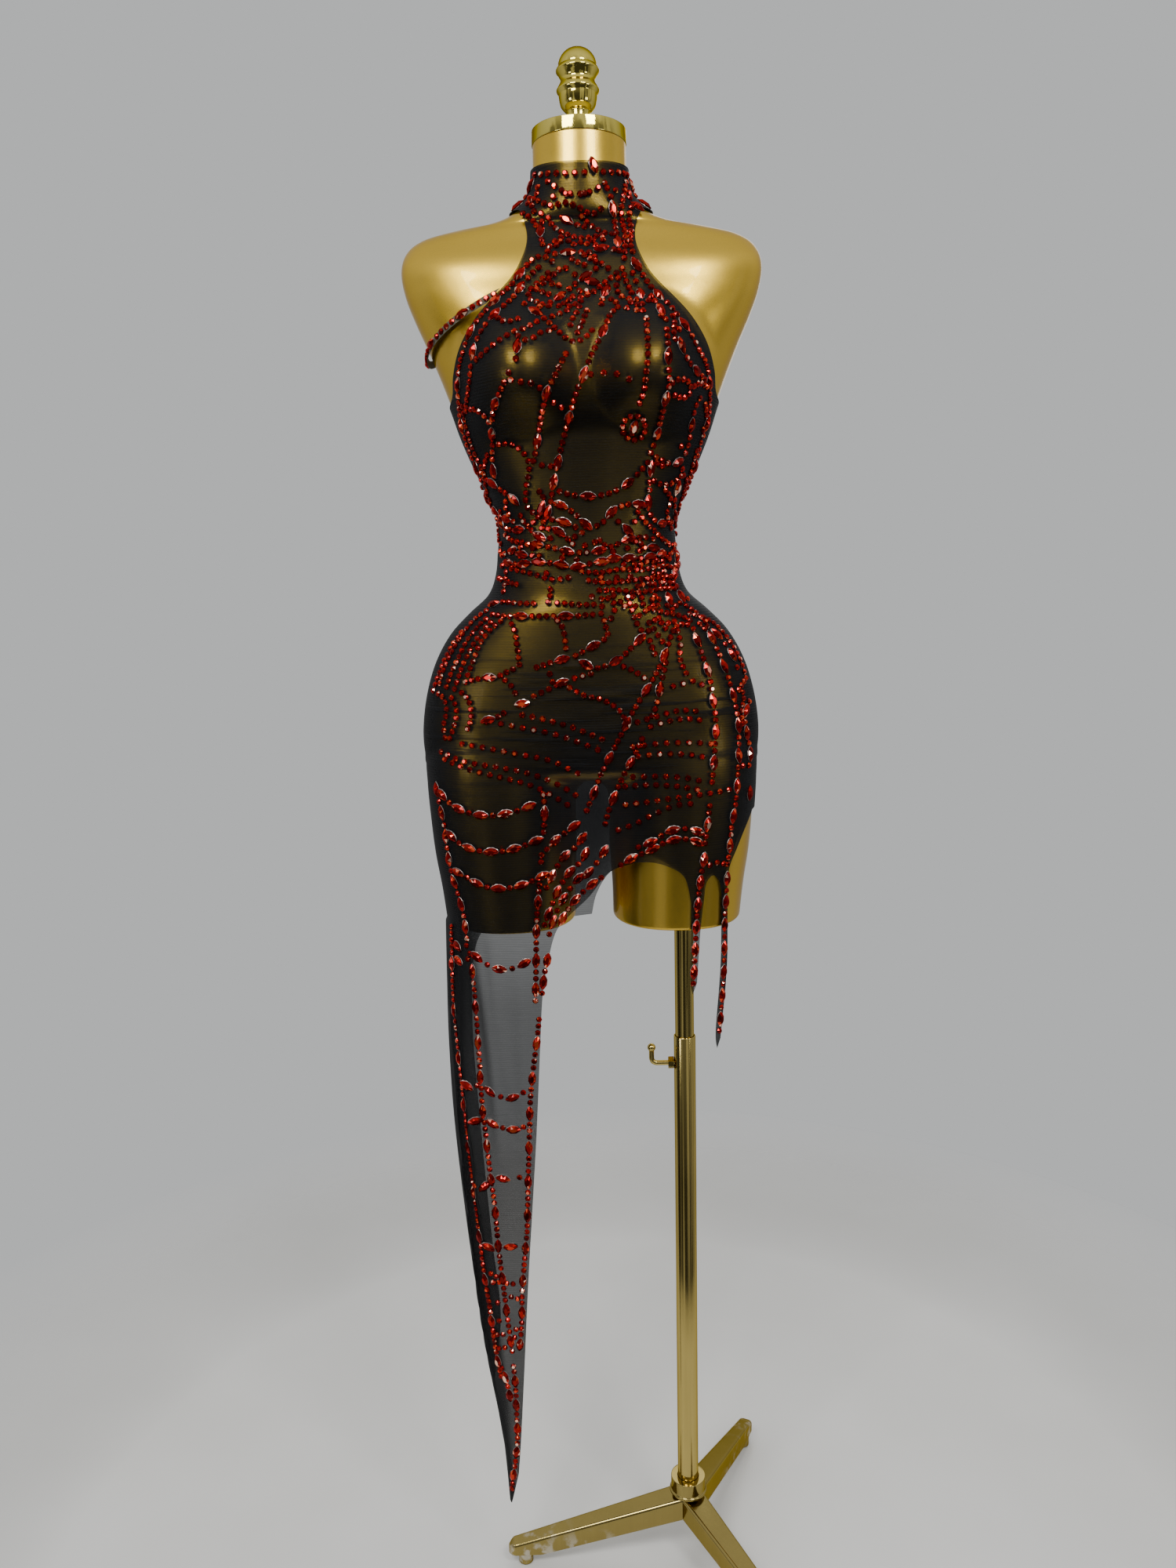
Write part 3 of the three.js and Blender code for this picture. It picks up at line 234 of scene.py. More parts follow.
# The strands of the front panel. Each line is a pattern of round (r) and pointed (n) stones that repeats,
# the gap between them and the points in X and Z that the strand's smooth line passes through.
STRANDS = """
# neck
n 0.4 12,1626 16,1609
rn 0.4 -44,1620 -49,1610 -55,1599 -63,1591 -71,1586
rn 0.4 47,1620 52,1609 57,1598 65,1590 73,1585
r 3.0 -47,1616 -29,1613 -10,1610 10,1611 29,1613 47,1617
r 2.6 -35,1608 -22,1597 -10,1591 6,1591 21,1597 40,1595
r 1.2 -53,1594 -42,1587 -29,1581 -15,1583 0,1578 11,1573 24,1579
rrn 0.6 -42,1606 -44,1588 -39,1571 -41,1555 -38,1536
nrrr 0.6 14,1619 20,1608 29,1595 32,1582 34,1567 36,1548 38,1527
nrr 0.4 44,1617 49,1601 52,1586 65,1575
r 0.4 47,1611 44,1591 41,1573 44,1554 44,1537 42,1519
r 0.6 -6,1579 3,1569 12,1559 23,1552 35,1549
nrr 0.6 -21,1574 -9,1564 6,1559 25,1560
r 0.6 -34,1574 -28,1561 -17,1552 -1,1546 16,1548 31,1555
rrn 0.8 -37,1533 -25,1528 -9,1530 8,1529 24,1534 36,1530
r 0.4 -40,1548 -33,1537 -22,1539 -20,1550
r 0.4 23,1558 21,1545 29,1534 39,1540 48,1550
r 0.4 -61,1577 -51,1571 -45,1562 -47,1552
rr 0.4 52,1582 49,1568 51,1556 49,1540 52,1526
r 1.0 -15,1545 -7,1538 2,1541 8,1536
# chest
rrrn 0.4 -40,1527 -51,1521 -61,1510 -71,1497 -82,1486 -93,1474 -104,1463 -113,1450 -119,1439
rrrn 0.6 -40,1517 -51,1507 -61,1495 -70,1481 -82,1470 -93,1459 -102,1447 -108,1434 -111,1423
r 0.6 -31,1511 -41,1501 -51,1492 -53,1482 -44,1476 -42,1468
r 0.6 -20,1514 -30,1505 -41,1496
rrn 0.6 23,1519 8,1507 -5,1498 -17,1487 -30,1477 -41,1470
r 0.6 43,1514 31,1504 20,1495 7,1485 -7,1481 -19,1487
nrrr 0.4 50,1523 58,1510 66,1496 75,1483 87,1470 98,1455 108,1441 116,1428
rrn 0.4 49,1511 54,1497 58,1481 59,1461
rrn 0.4 55,1513 63,1497 68,1481 76,1467 82,1452
r 0.6 37,1505 34,1491 40,1480 50,1478
nrr 0.6 39,1523 34,1510 28,1497 21,1483 18,1470
r 0.5 46,1522 42,1508 45,1495 49,1485 47,1471
r 1.2 -1,1480 -4,1468 -10,1457 -13,1447
r 0.5 80,1475 87,1464 90,1452 96,1444
# bust
r 1.1 -108,1422 -94,1430 -79,1439 -67,1445 -55,1449 -41,1457 -27,1461 -12,1468
r 1.2 -69,1450 -61,1438 -51,1437 -40,1444 -29,1445
rn 0.6 -63,1444 -64,1431 -66,1415
r 0.9 -35,1456 -24,1444 -12,1434 0,1436 11,1447
rrrrn 0.5 37,1471 27,1461 21,1447 14,1433 6,1417 0,1403 -7,1390 -13,1375 -19,1357 -25,1337 -30,1316
rrrrrn 0.5 5,1468 -1,1452 -9,1436 -19,1419 -28,1403 -36,1390 -41,1375 -46,1357 -50,1339 -54,1324
r 2.8 -70,1410 -75,1402 -65,1398 -53,1397 -39,1390
r 4.8 0,1402 18,1404 35,1402 49,1395
r 1.1 62,1459 62,1439 62,1420 60,1402 58,1387 53,1375
rrrn 0.6 81,1448 82,1431 82,1413 83,1397 80,1382 76,1365 71,1346 65,1330
nrr 0.6 93,1439 99,1423 109,1412 123,1404
r 0.6 83,1393 92,1399 102,1399 106,1391 98,1384 86,1386
r 0.6 107,1394 116,1400 126,1399
rrrrn 0.4 116,1429 124,1417 127,1405 129,1389 129,1374 125,1360 120,1345 116,1328 111,1311 105,1295
rrrn 0.6 119,1390 112,1378 109,1362 107,1346 100,1330 89,1324 78,1327 69,1331
rrrrn 0.4 -119,1437 -125,1423 -128,1408 -129,1391 -129,1375 -126,1359 -121,1343 -115,1328 -110,1313
r 0.6 -111,1422 -114,1406 -118,1393 -122,1379
r 1.0 -121,1381 -111,1380 -100,1372 -95,1364
rrrn 0.6 -76,1401 -83,1390 -90,1378 -94,1362 -95,1346 -96,1330 -95,1313
r 1.0 -92,1346 -78,1346 -66,1339 -58,1327 -59,1313 -62,1301
r 1.6 -38,1390 -29,1378 -18,1375
r 2.0 -56,1330 -45,1323 -31,1321
r 0.5 123,1385 126,1372 122,1357 117,1342 112,1325 107,1308 102,1291
r 0.5 -125,1389 -124,1372 -120,1355 -115,1340 -108,1325 -102,1311
# midriff
rrn 0.6 -112,1325 -102,1314 -91,1304 -79,1295 -69,1285
rn 0.5 -115,1313 -107,1299 -98,1285 -88,1275 -74,1269
nrr 0.6 -31,1314 -34,1301 -37,1285 -43,1268
rrrn 0.7 -31,1298 -16,1293 2,1291 21,1293 39,1301 53,1313 66,1327
nrr 0.7 -35,1285 -22,1281 -10,1272 3,1261 16,1265 29,1278 45,1283 62,1282
r 0.7 -56,1314 -61,1301 -62,1285 -53,1275 -42,1265
nrr 0.6 67,1327 66,1311 65,1295 64,1278 74,1265 91,1267
r 1.0 70,1325 83,1321 99,1327
r 0.8 67,1308 81,1303 97,1310
rrn 0.4 101,1324 98,1310 93,1293 93,1276 96,1261
r 0.4 106,1314 103,1299 99,1284 100,1268 97,1252
nrr 0.4 -94,1278 -86,1264 -70,1261 -52,1269
rrn 0.5 -92,1285 -88,1272 -90,1255 -93,1236
rrn 0.5 -70,1278 -61,1264 -45,1261 -31,1258 -17,1247
r 0.6 -23,1245 -10,1253 3,1259 13,1264
rn 0.5 -39,1270 -26,1267 -12,1261 -1,1250 11,1244
r 0.4 -107,1304 -100,1290 -96,1276 -95,1262 -94,1249
rn 0.5 29,1268 38,1261 46,1252 51,1242
r 0.5 51,1278 59,1267 69,1258 78,1249 88,1242
r 0.5 -87,1258 -78,1250 -65,1247 -54,1239
# waist
rrn 0.5 -92,1235 -75,1241 -56,1245 -37,1241 -16,1236 7,1236 28,1242 46,1249 64,1250
nrn 0.5 -89,1229 -73,1225 -55,1227 -35,1225 -14,1221 7,1225 23,1226
r 1.6 -92,1225 -76,1220 -57,1215 -37,1209 -16,1211
nrn 0.4 -6,1229 15,1228 36,1229 59,1229 83,1235
r 0.3 -10,1217 12,1215 34,1218 57,1217 78,1221 91,1218
r 0.3 -3,1208 16,1205 39,1206 62,1208 86,1209
r 0.3 8,1197 31,1197 53,1194 75,1197 93,1197
r 0.4 12,1236 15,1218 11,1201 14,1185 12,1170
r 0.4 28,1247 26,1228 29,1209 26,1191 27,1173
r 0.4 43,1250 41,1233 44,1213 40,1194 45,1175 51,1159
r 0.4 56,1247 54,1228 57,1209 55,1189 60,1172
rn 0.3 69,1252 67,1233 70,1213 68,1194 73,1177
rn 0.3 82,1247 83,1228 80,1209 83,1191 88,1172
rn 0.3 93,1247 95,1229 91,1210 96,1193 104,1175
rrn 0.4 29,1185 47,1186 66,1186 86,1185 106,1177
r 0.6 -41,1209 -39,1196 -43,1183
r 0.6 -87,1234 -86,1215 -90,1194
nrrrrrr 0.7 -107,1182 -90,1186 -72,1185 -50,1185 -27,1185 -4,1183 19,1184 42,1185
rrrrn 0.6 -104,1174 -84,1172 -61,1172 -37,1172 -12,1172 11,1173 33,1171
r 0.3 45,1181 60,1178 78,1173 94,1169 109,1162
r 0.3 65,1167 78,1162 91,1164 104,1170 115,1167
# left_hip
r 0.3 -105,1179 -121,1168 -134,1153 -146,1135 -156,1116 -162,1098
r 0.3 -100,1175 -115,1163 -128,1148 -138,1130 -147,1113 -154,1095
r 0.3 -94,1172 -108,1161 -120,1146 -130,1129 -138,1111 -145,1093
r 0.4 -89,1169 -102,1159 -114,1145 -122,1127 -130,1108
r 0.3 -124,1167 -139,1151 -152,1132 -162,1111 -170,1090
r 0.8 -169,1093 -157,1087 -153,1074 -157,1057 -155,1041
r 0.8 -149,1090 -142,1077 -144,1061 -152,1041
r 0.8 -138,1095 -128,1084 -126,1067 -132,1052
# hips
r 0.6 -86,1172 -78,1159 -75,1140 -73,1119
r 0.6 -35,1170 -27,1159 -24,1135
r 0.6 15,1170 20,1149
nrrr 0.8 -147,1092 -134,1103 -115,1108 -97,1110 -79,1118 -58,1119 -38,1125 -20,1129
rrn 0.8 -18,1129 -3,1137 12,1145 25,1153
rrn 0.8 -25,1133 -10,1125 5,1118 20,1121 35,1130 50,1144 64,1157
rrrn 0.8 -92,1109 -81,1099 -73,1082 -58,1090 -40,1098 -22,1106 5,1113
r 1.0 -53,1119 -42,1113 -38,1100
r 1.8 -25,1100 -7,1090 12,1085 29,1074 36,1062
nrr 0.8 -116,1063 -100,1067 -85,1076 -73,1082
r 4.2 -77,1071 -51,1066 -24,1058 -1,1049 16,1041
r 4.2 -100,1062 -74,1057 -44,1051 -16,1042 12,1030
r 4.4 -142,1039 -112,1035 -78,1029 -41,1021 -10,1004
r 4.4 -164,1030 -136,1021 -101,1015 -67,1008 -37,996 -13,981
r 4.4 -160,1023 -128,1012 -91,1003 -57,992 -22,971
r 4.0 43,1059 70,1066 93,1071 115,1069
r 4.0 57,1054 80,1060 100,1062 119,1059
r 4.4 37,1034 66,1037 98,1037 132,1033
r 4.4 43,1024 71,1026 101,1024 122,1020
r 4.4 37,1002 67,1002 96,1000 118,995
r 4.4 29,992 61,993 90,991 116,986
r 4.4 29,972 59,975 90,979 120,982 150,985
r 4.4 21,944 42,951 65,962 89,971 109,972
# sweep
nrrr 0.6 97,1170 87,1153 79,1132 69,1111 57,1092 44,1072 32,1049 20,1027 10,1007 2,987 -8,964
rrrn 0.6 86,1165 83,1145 79,1121 73,1098 68,1076 58,1054 48,1032 37,1011 26,989 17,967 12,949
rrn 0.6 106,1165 112,1146 119,1125 126,1103 129,1079 132,1054 130,1027 127,999 124,971 121,944 118,925
rrn 0.6 114,1162 127,1148 136,1129 145,1106 152,1082 157,1056 157,1029 155,999 153,971 148,942 146,918 143,899
r 0.4 119,1167 135,1157 150,1140 161,1121 167,1103
rn 0.4 122,1159 138,1145 151,1127 159,1108
r 0.5 169,1101 161,1092 154,1081
rn 0.5 172,1077 165,1061 167,1042 171,1022 168,1004
n 3.0 172,991 168,962
r 0.6 91,1157 95,1141 94,1125 102,1106
r 0.6 51,1158 61,1148 67,1132 74,1122
r 1.6 23,1122 39,1117 54,1108 65,1098
r 3.4 70,1094 90,1097 110,1101 121,1093
r 0.5 159,1095 164,1081 161,1066 162,1049
rn 0.8 145,983 157,996 162,1012
# thighs
nr 0.7 -166,989 -150,974 -129,966 -105,964 -82,968 -59,976
nr 0.7 -158,944 -141,931 -120,925 -95,925 -73,931 -53,939
nr 0.7 -153,902 -136,894 -115,885 -91,884 -69,890 -48,901
nr 0.7 -168,997 -165,974 -160,951 -158,925 -155,900 -149,877 -143,852 -140,820
rrn 0.7 -52,989 -51,966 -53,942 -56,914 -59,885 -62,855 -64,827 -65,795 -67,752
nr 0.7 -13,956 -28,945 -42,934 -52,923
nr 0.7 -7,945 -19,928 -33,916 -43,900 -53,880
nr 0.7 -5,928 -15,911 -27,899 -38,882 -47,861 -56,838
nr 0.7 -10,900 -22,887 -32,873 -42,854 -51,827
nr 0.7 118,927 99,934 79,932 61,923 42,915 24,904 7,893 -10,880 -27,861 -41,836 -51,808 -58,775 -61,743
nr 0.7 119,938 101,945 81,943 62,932 44,925
nr 0.7 16,931 6,914 -8,897 -18,884
r 1.6 120,902 131,906 143,902
nr 0.6 119,919 115,895 112,872 109.5,841 108,810 106.5,785 105.4,768
nr 0.6 144,895 143,872 141.5,841 141,810 139.8,775 137.4,743 134.6,709
# point
nr 0.7 -136,811 -121,799 -102,792 -83,796 -62,808
nr 0.7 -157,819 -148,811 -138,819
nr 0.7 -157,802 -147,795 -137,804
rrrn 0.8 -63,738 -67,707 -72,673 -76,638 -78,600 -80,562 -82,524 -84,485 -88,446 -92,405 -94,364 -98,326
rrrn 0.8 -139,819 -135,788 -133,752 -132,716 -131,675 \
-130,634 -127,593 -124,551 -120,508 -118,461 -114,413 -110,364 -106,322
rrrrrn 0.4 -159,834 -159,802 -159,766 -158,730 -155,694 -152,653 \
-149,610 -147,566 -143,520 -139,473 -135,426 -130,376 -126,330 -120,287
nr 0.7 -128,655 -116,647 -98,642 -80,651
rn 0.7 -154,660 -143,653 -132,656
nr 0.7 -126,615 -114,609 -96,604 -81,609
rn 0.7 -150,619 -140,613 -130,616
nr 0.7 -120,552 -112,545 -96,544 -86,549
rn 0.7 -143,537 -134,533 -124,541
rn 0.6 -139,471 -128,460 -110,460 -88,460
r 1.0 -136,432 -124,424 -108,413 -92,416
r 1.0 -134,409 -120,416 -106,397 -94,394
r 1.0 -132,387 -118,389 -104,380
r 1.0 -130,362 -116,366 -98,352
r 1.0 -126,346 -112,348 -100,342
r 1.0 -124,328 -108,332 -102,324
rrn 0.6 -108,342 -106,312 -104,279 -104,245 -104,210 -107,180 -111,152 -113,134
rn 0.5 -120,306 -114,285 -110,258 -106,227
# more at the neck and chest
r 0.6 -28,1545 -20,1533 -8,1521 6,1514
r 0.6 -46,1530 -34,1524 -24,1516 -12,1512
r 0.5 0,1528 12,1520 24,1513 36,1508
rrn 0.5 -10,1508 4,1500 18,1497 32,1500
r 0.5 -58,1502 -47,1493 -36,1487 -24,1483
r 0.6 -26,1470 -16,1476 -6,1484
r 0.5 26,1480 36,1472 46,1466
rn 0.6 -60,1478 -50,1468 -38,1463 -26,1462
rn 0.5 63,1478 72,1468 78,1456
r 0.4 52,1500 49,1488 54,1474 52,1462
r 0.5 -55,1588 -47,1580 -50,1566
r 0.5 -30,1588 -18,1592 -6,1588 8,1592
r 0.5 -88,1468 -80,1458 -70,1456 -60,1460
r 0.5 92,1456 88,1444 92,1430 100,1416
# more at the midriff and waist
r 0.5 -100,1340 -107,1322 -104,1300 -100,1280
rn 0.5 96,1345 104,1330 101,1310
r 0.5 80,1300 88,1290 84,1274 90,1258
r 0.5 -82,1300 -84,1284 -78,1270 -84,1256
rrn 0.5 -50,1300 -44,1290 -48,1276 -56,1262
rrn 0.4 -85,1243 -72,1236 -60,1234 -46,1233
r 0.4 -30,1229 -18,1232 -8,1226
r 0.4 20,1205 32,1210 46,1204 60,1211 76,1205 90,1210
r 0.4 0,1192 14,1189 28,1192
r 0.4 60,1219 72,1212 84,1216 95,1210
rn 0.4 34,1240 48,1236 62,1240 78,1238 92,1243
r 0.4 66,1180 80,1184 94,1180 106,1186
r 0.4 70,1160 84,1156 98,1160 112,1156
rn 0.4 -66,1216 -52,1219 -40,1214
r 0.4 -96,1212 -84,1207 -72,1204
r 0.5 60,1262 54,1270 46,1262 38,1252
r 0.2 -5,1245 15,1225 35,1205 55,1185 75,1165
r 0.2 10,1250 30,1230 50,1210 70,1190 95,1168
r 0.2 95,1240 75,1222 55,1200 35,1178
r 0.2 100,1225 85,1205 68,1188 50,1168
r 0.2 25,1222 45,1222 66,1226 88,1228
r 0.2 20,1200 44,1199 68,1203 92,1203
r 0.2 30,1178 52,1180 76,1180 100,1178
r 0.2 18,1192 25,1180 22,1165
r 0.2 60,1166 70,1152 78,1140
r 0.2 100,1180 112,1172 124,1160 135,1150
rn 0.2 -60,1262 -48,1252 -30,1250 -12,1243
r 0.2 -40,1500 -22,1495 -8,1490 8,1488
r 0.2 -48,1478 -34,1472 -18,1470 -4,1474
r 0.2 10,1545 16,1532 12,1520 18,1508
# medallion
n 0.4 46,1349 52,1365
r 0.5 49,1368.4 57,1365 60.4,1357 57,1349 49,1345.6 41,1349 37.6,1357 41,1365 49,1368.4
"""

# ---------------------------------------------------------------- what a user would change


def colour(name, description, default):
    """A colour that a user can pick."""
    return bpy.props.FloatVectorProperty(
        name=name, description=description, subtype="COLOR", size=3, default=default, min=0, max=1)


class DressSettings(bpy.types.PropertyGroup):
    """Sizes and colours of the cloth."""

    mesh_colour: colour("Mesh colour", "Colour of the mesh's thread", (0.0065, 0.0066, 0.0072))
    see_through: bpy.props.FloatProperty(
        name="See-through", description="Share of light that one face of the cloth lets through, seen square on",
        subtype="FACTOR", default=0.60, min=0.05, max=0.95)
    rib_spacing: bpy.props.FloatProperty(
        name="Rib spacing", description="Distance between the knitted lines", unit="LENGTH", default=0.0026)
    crease_height: bpy.props.FloatProperty(
        name="Crease height", description="Scales the height of all creases", default=1.0, min=0, max=2)


class CrystalSettings(bpy.types.PropertyGroup):
    """Size and colour of the stones."""

    size: bpy.props.FloatProperty(
        name="Stone size", description="Scales every stone on its place", default=1.0, min=0.5, max=1.2)
    # The deep and bright colours are the ends of the facets' painted light: painted shade on dark facets, painted
    # light on lit ones.
    deep_colour: colour("Deep colour", "Colour of the dark facets", (0.055, 0.0012, 0.0012))
    bright_colour: colour("Bright colour", "Colour of the lit facets", (0.38, 0.0065, 0.005))
    seed: bpy.props.IntProperty(
        name="Seed", description="Picks the stones' small turns and tilts", default=7, min=0)


class StandSettings(bpy.types.PropertyGroup):
    """Colours of the form and the stand."""

    paint_colour: colour("Form paint", "Colour of the form's gold paint", (0.65, 0.43, 0.048))
    plate_colour: colour("Gold plate", "Colour of the cap and the finial", (0.78, 0.64, 0.14))
    brass_colour: colour("Stand brass", "Colour of the pole and the feet", (0.51, 0.395, 0.125))


class StageSettings(bpy.types.PropertyGroup):
    """The camera, the floor and the light round the object."""

    eye: bpy.props.FloatVectorProperty(
        name="Eye", description="Where the camera stands from the torso's foot", subtype="TRANSLATION", size=3,
        default=(-0.0045, -1.3146, 1.194))
    tip: bpy.props.FloatProperty(
        name="Tip", description="How far the camera looks down", subtype="ANGLE", default=math.radians(9.2))
    roll: bpy.props.FloatProperty(
        name="Roll", description="How far the camera leans to its left", subtype="ANGLE",
        default=math.radians(1.2))
    lens: bpy.props.FloatProperty(
        name="Lens", description="Focal length on a frame 36 mm high", subtype="DISTANCE_CAMERA", default=27.04)
    floor_radius: bpy.props.FloatProperty(
        name="Floor radius", description="Radius of the pale floor", unit="LENGTH", default=1.3)
    surround: colour("Surround", "Colour all round the object", (0.54, 0.55, 0.553))


class StageDress(bpy.types.PropertyGroup):
    """Everything that a user can set."""

    dress: bpy.props.PointerProperty(type=DressSettings)
    crystals: bpy.props.PointerProperty(type=CrystalSettings)
    stand: bpy.props.PointerProperty(type=StandSettings)
    stage: bpy.props.PointerProperty(type=StageSettings)


# ---------------------------------------------------------------- meshes


def unit(vectors):
    """Vectors scaled to a length of 1."""
    return vectors / np.linalg.norm(vectors, axis=-1, keepdims=True)


def round_angles(count):
    """Angles round a circle."""
    return np.linspace(0, 2 * np.pi, count, endpoint=False)


def signed_power(value, power):
    """|v|^power with the sign of v, which squares off or sharpens a circle."""
    return np.sign(value) * np.abs(value) ** power


def grid_quads(rows, columns, closed=False):
    """The quads of a grid of points, row by row; closed joins the last column to the first."""
    row = np.arange(rows - 1)[:, None] * columns
    column = np.arange(columns if closed else columns - 1)[None, :]
    beside = (column + 1) % columns
    quads = np.stack([row + column, row + beside, row + columns + beside, row + columns + column], axis=-1)
    return quads.reshape(-1, 4)


def shade(mesh, smooth):
    """Smooth shading, with edges sharper than an angle in degrees kept crisp, or flat faces for None."""
    if smooth is None:
        mesh.shade_flat()
    else:
        mesh.shade_smooth()
        mesh.set_sharp_from_angle(angle=math.radians(smooth))


def build(name, points, faces, smooth=40):
    """A mesh object from points in millimetres about the torso's axis and lists of faces.

    The faces are turned to point outwards when the closed mesh's volume, the sum of a · (b × c) / 6 over
    its triangles, comes out negative.
    """
    placed = np.asarray(points, dtype=float).reshape(-1, 3) * MM + TORSO_AXIS
    volume = 0.0
    for group in faces:
        a = placed[group[:, 0]]
        for k in range(1, group.shape[1] - 1):
            volume += np.einsum("ij,ij->i", a, np.cross(placed[group[:, k]], placed[group[:, k + 1]])).sum()
    if volume < 0:
        faces = [group[:, ::-1] for group in faces]
    mesh = bpy.data.meshes.new(name)
    sizes = np.concatenate([np.full(len(group), group.shape[1]) for group in faces])
    mesh.vertices.add(len(placed))
    mesh.vertices.foreach_set("co", placed.ravel())
    mesh.loops.add(int(sizes.sum()))
    mesh.loops.foreach_set("vertex_index", np.concatenate([group.ravel() for group in faces]))
    mesh.polygons.add(len(sizes))
    mesh.polygons.foreach_set("loop_start", np.concatenate([[0], np.cumsum(sizes)[:-1]]))
    mesh.update(calc_edges=True)
    mesh.validate()
    shade(mesh, smooth)
    thing = bpy.data.objects.new(name, mesh)
    bpy.context.collection.objects.link(thing)
    return thing


def apply_steps(thing):
    """Applies an object's modifiers to its mesh."""
    shape = bpy.data.meshes.new_from_object(thing.evaluated_get(bpy.context.evaluated_depsgraph_get()))
    thing.modifiers.clear()
    old, thing.data = thing.data, shape
    bpy.data.meshes.remove(old)
    shape.name = thing.name


def combine(thing, other, operation, smooth):
    """Applies a boolean of two closed objects to the first, deletes the second and shades the result."""
    step = thing.modifiers.new(operation, "BOOLEAN")
    step.operation, step.object, step.solver = operation, other, "MANIFOLD"
    apply_steps(thing)
    bpy.data.meshes.remove(other.data)
    if not thing.data.polygons:
        raise RuntimeError(f"{operation} left nothing of {thing.name}")
    shade(thing.data, smooth)


def curve(points, steps=10):
    """Points on the smooth curve through some points.

    Between b and c it is the cubic with slopes (c - a) / 2 at b and (d - b) / 2 at c.
    """
    p = np.asarray(points, dtype=float)
    if len(p) < 3:
        return p
    count = len(p) - 1
    t = np.linspace(0, count, count * steps + 1)
    i = np.minimum(t.astype(int), count - 1)
    t = (t - i)[:, None]
    a, b, c, d = p[np.maximum(i - 1, 0)], p[i], p[i + 1], p[np.minimum(i + 2, count)]
    start, end = (c - a) / 2, (d - b) / 2
    return (2 * b - 2 * c + start + end) * t**3 + (3 * c - 3 * b - 2 * start - end) * t**2 + start * t + b


def lengths(points):
    """How far each point of a chain lies along it."""
    return np.concatenate([[0], np.cumsum(np.linalg.norm(np.diff(points, axis=0), axis=1))])


def spaced(points, count):
    """Points spaced evenly along a chain: each coordinate read at equal steps of the length so far."""
    along = lengths(points)
    want = np.linspace(0, along[-1], count)
    return np.stack([np.interp(want, along, column) for column in points.T], axis=1)


def eased(profile, radius, steps=4):
    """A profile with each inner corner p replaced by the curve (1-t)² a + 2t(1-t) p + t² b between points a, b."""
    p = np.asarray(profile, dtype=float)
    middle = p[1:-1]
    a, b = (middle + unit(leg) * np.minimum(radius, np.linalg.norm(leg, axis=1, keepdims=True) * 0.45)
            for leg in (p[:-2] - middle, p[2:] - middle))
    t = np.linspace(0, 1, steps)[None, :, None]
    bends = (1 - t) ** 2 * a[:, None] + 2 * t * (1 - t) * middle[:, None] + t**2 * b[:, None]
    return np.concatenate([p[:1], bends.reshape(-1, 2), p[-1:]])


def lofted(name, rings, smooth=40, ends=None):
    """A closed piece through rings of equally many points, each end closed by a fan from a point, or its middle."""
    rings = np.asarray(rings, dtype=float)
    rows, count = rings.shape[:2]
    points = np.concatenate([rings.reshape(-1, 3), rings[[0, -1]].mean(axis=1) if ends is None else ends])
    i, pole = np.arange(count), np.full(count, rows * count)
    beside, last = (i + 1) % count, (rows - 1) * count
    fans = [np.stack([pole, beside, i], axis=-1), np.stack([pole + 1, last + i, last + beside], axis=-1)]
    return build(name, points, [grid_quads(rows, count, closed=True), np.concatenate(fans)], smooth)


def circles(profile, x, y, sides):
    """A ring of points (x + r cos a, y + r sin a, z) for each (r, z) of a profile."""
    r, z = np.asarray(profile, dtype=float)[..., None].swapaxes(0, 1)
    a = round_angles(sides)
    return np.stack([x + r * np.cos(a), y + r * np.sin(a), z + 0 * a], axis=-1)


def turned(name, profile, x=0.0, y=0.0, sides=96, smooth=35):
    """A round piece whose profile starts and ends on the axis, where fans close it."""
    rings = circles(profile, x, y, sides)
    return lofted(name, rings[1:-1], smooth, rings[[0, -1], 0])


def post(radius, low, high):
    """The profile of a plain round post."""
    return [(0, low), (radius, low), (radius, high), (0, high)]


def slab(outline, near, far):
    """A flat outline in X and Z pushed through from Y = near to Y = far."""
    count = len(outline)
    i = np.arange(count)
    beside = (i + 1) % count
    points = [np.insert(outline, 1, y, axis=1) for y in (near, far)]
    sides = np.stack([i, beside, count + beside, count + i], axis=-1)
    return build("slab", np.concatenate(points), [np.stack([i[::-1], count + i]), sides])


# ---------------------------------------------------------------- the body that the dress is cut for


def read_rows(table, heights):
    """Every column of a table at some heights, on the smooth curve through its rows.

    Between rows a and b it is a + (b - a) t² (3 - 2t) + t (1 - t) ((1 - t) A - t B), where t is the share of
    the way down and A and B are the slopes there, taken between neighbours, times the rows' distance.
    """
    z = table[:, 0]
    heights = np.atleast_1d(np.asarray(heights, dtype=float))
    i = np.clip(np.searchsorted(-z, -heights, side="left") - 1, 0, len(z) - 2)
    ahead = np.minimum(np.arange(len(z)) + 1, len(z) - 1)
    behind = np.maximum(np.arange(len(z)) - 1, 0)
    slope = (table[ahead] - table[behind]) / (z[ahead] - z[behind])[:, None]
    span = (z[i + 1] - z[i])[:, None]
    t = (heights - z[i])[:, None] / span
    a, b = table[i], table[i + 1]
    return a + (b - a) * t**2 * (3 - 2 * t) + t * (1 - t) * ((1 - t) * slope[i] - t * slope[i + 1]) * span


def torso_rows(heights):
    """The torso's sections at some heights: x, y, half, front, back, squareness."""
    rows = read_rows(TORSO, heights)
    return np.insert(rows, 1, 0, axis=1) * (0, 1, 1, 1, 1, 1)


def stub_rows(heights, side):
    """A thigh stub's sections, in the same form."""
    rows = read_rows(STUB, heights)
    return np.insert(rows[:, 1:], 1, 0, axis=1) * (side, 1, 1, 1, 1, 1)


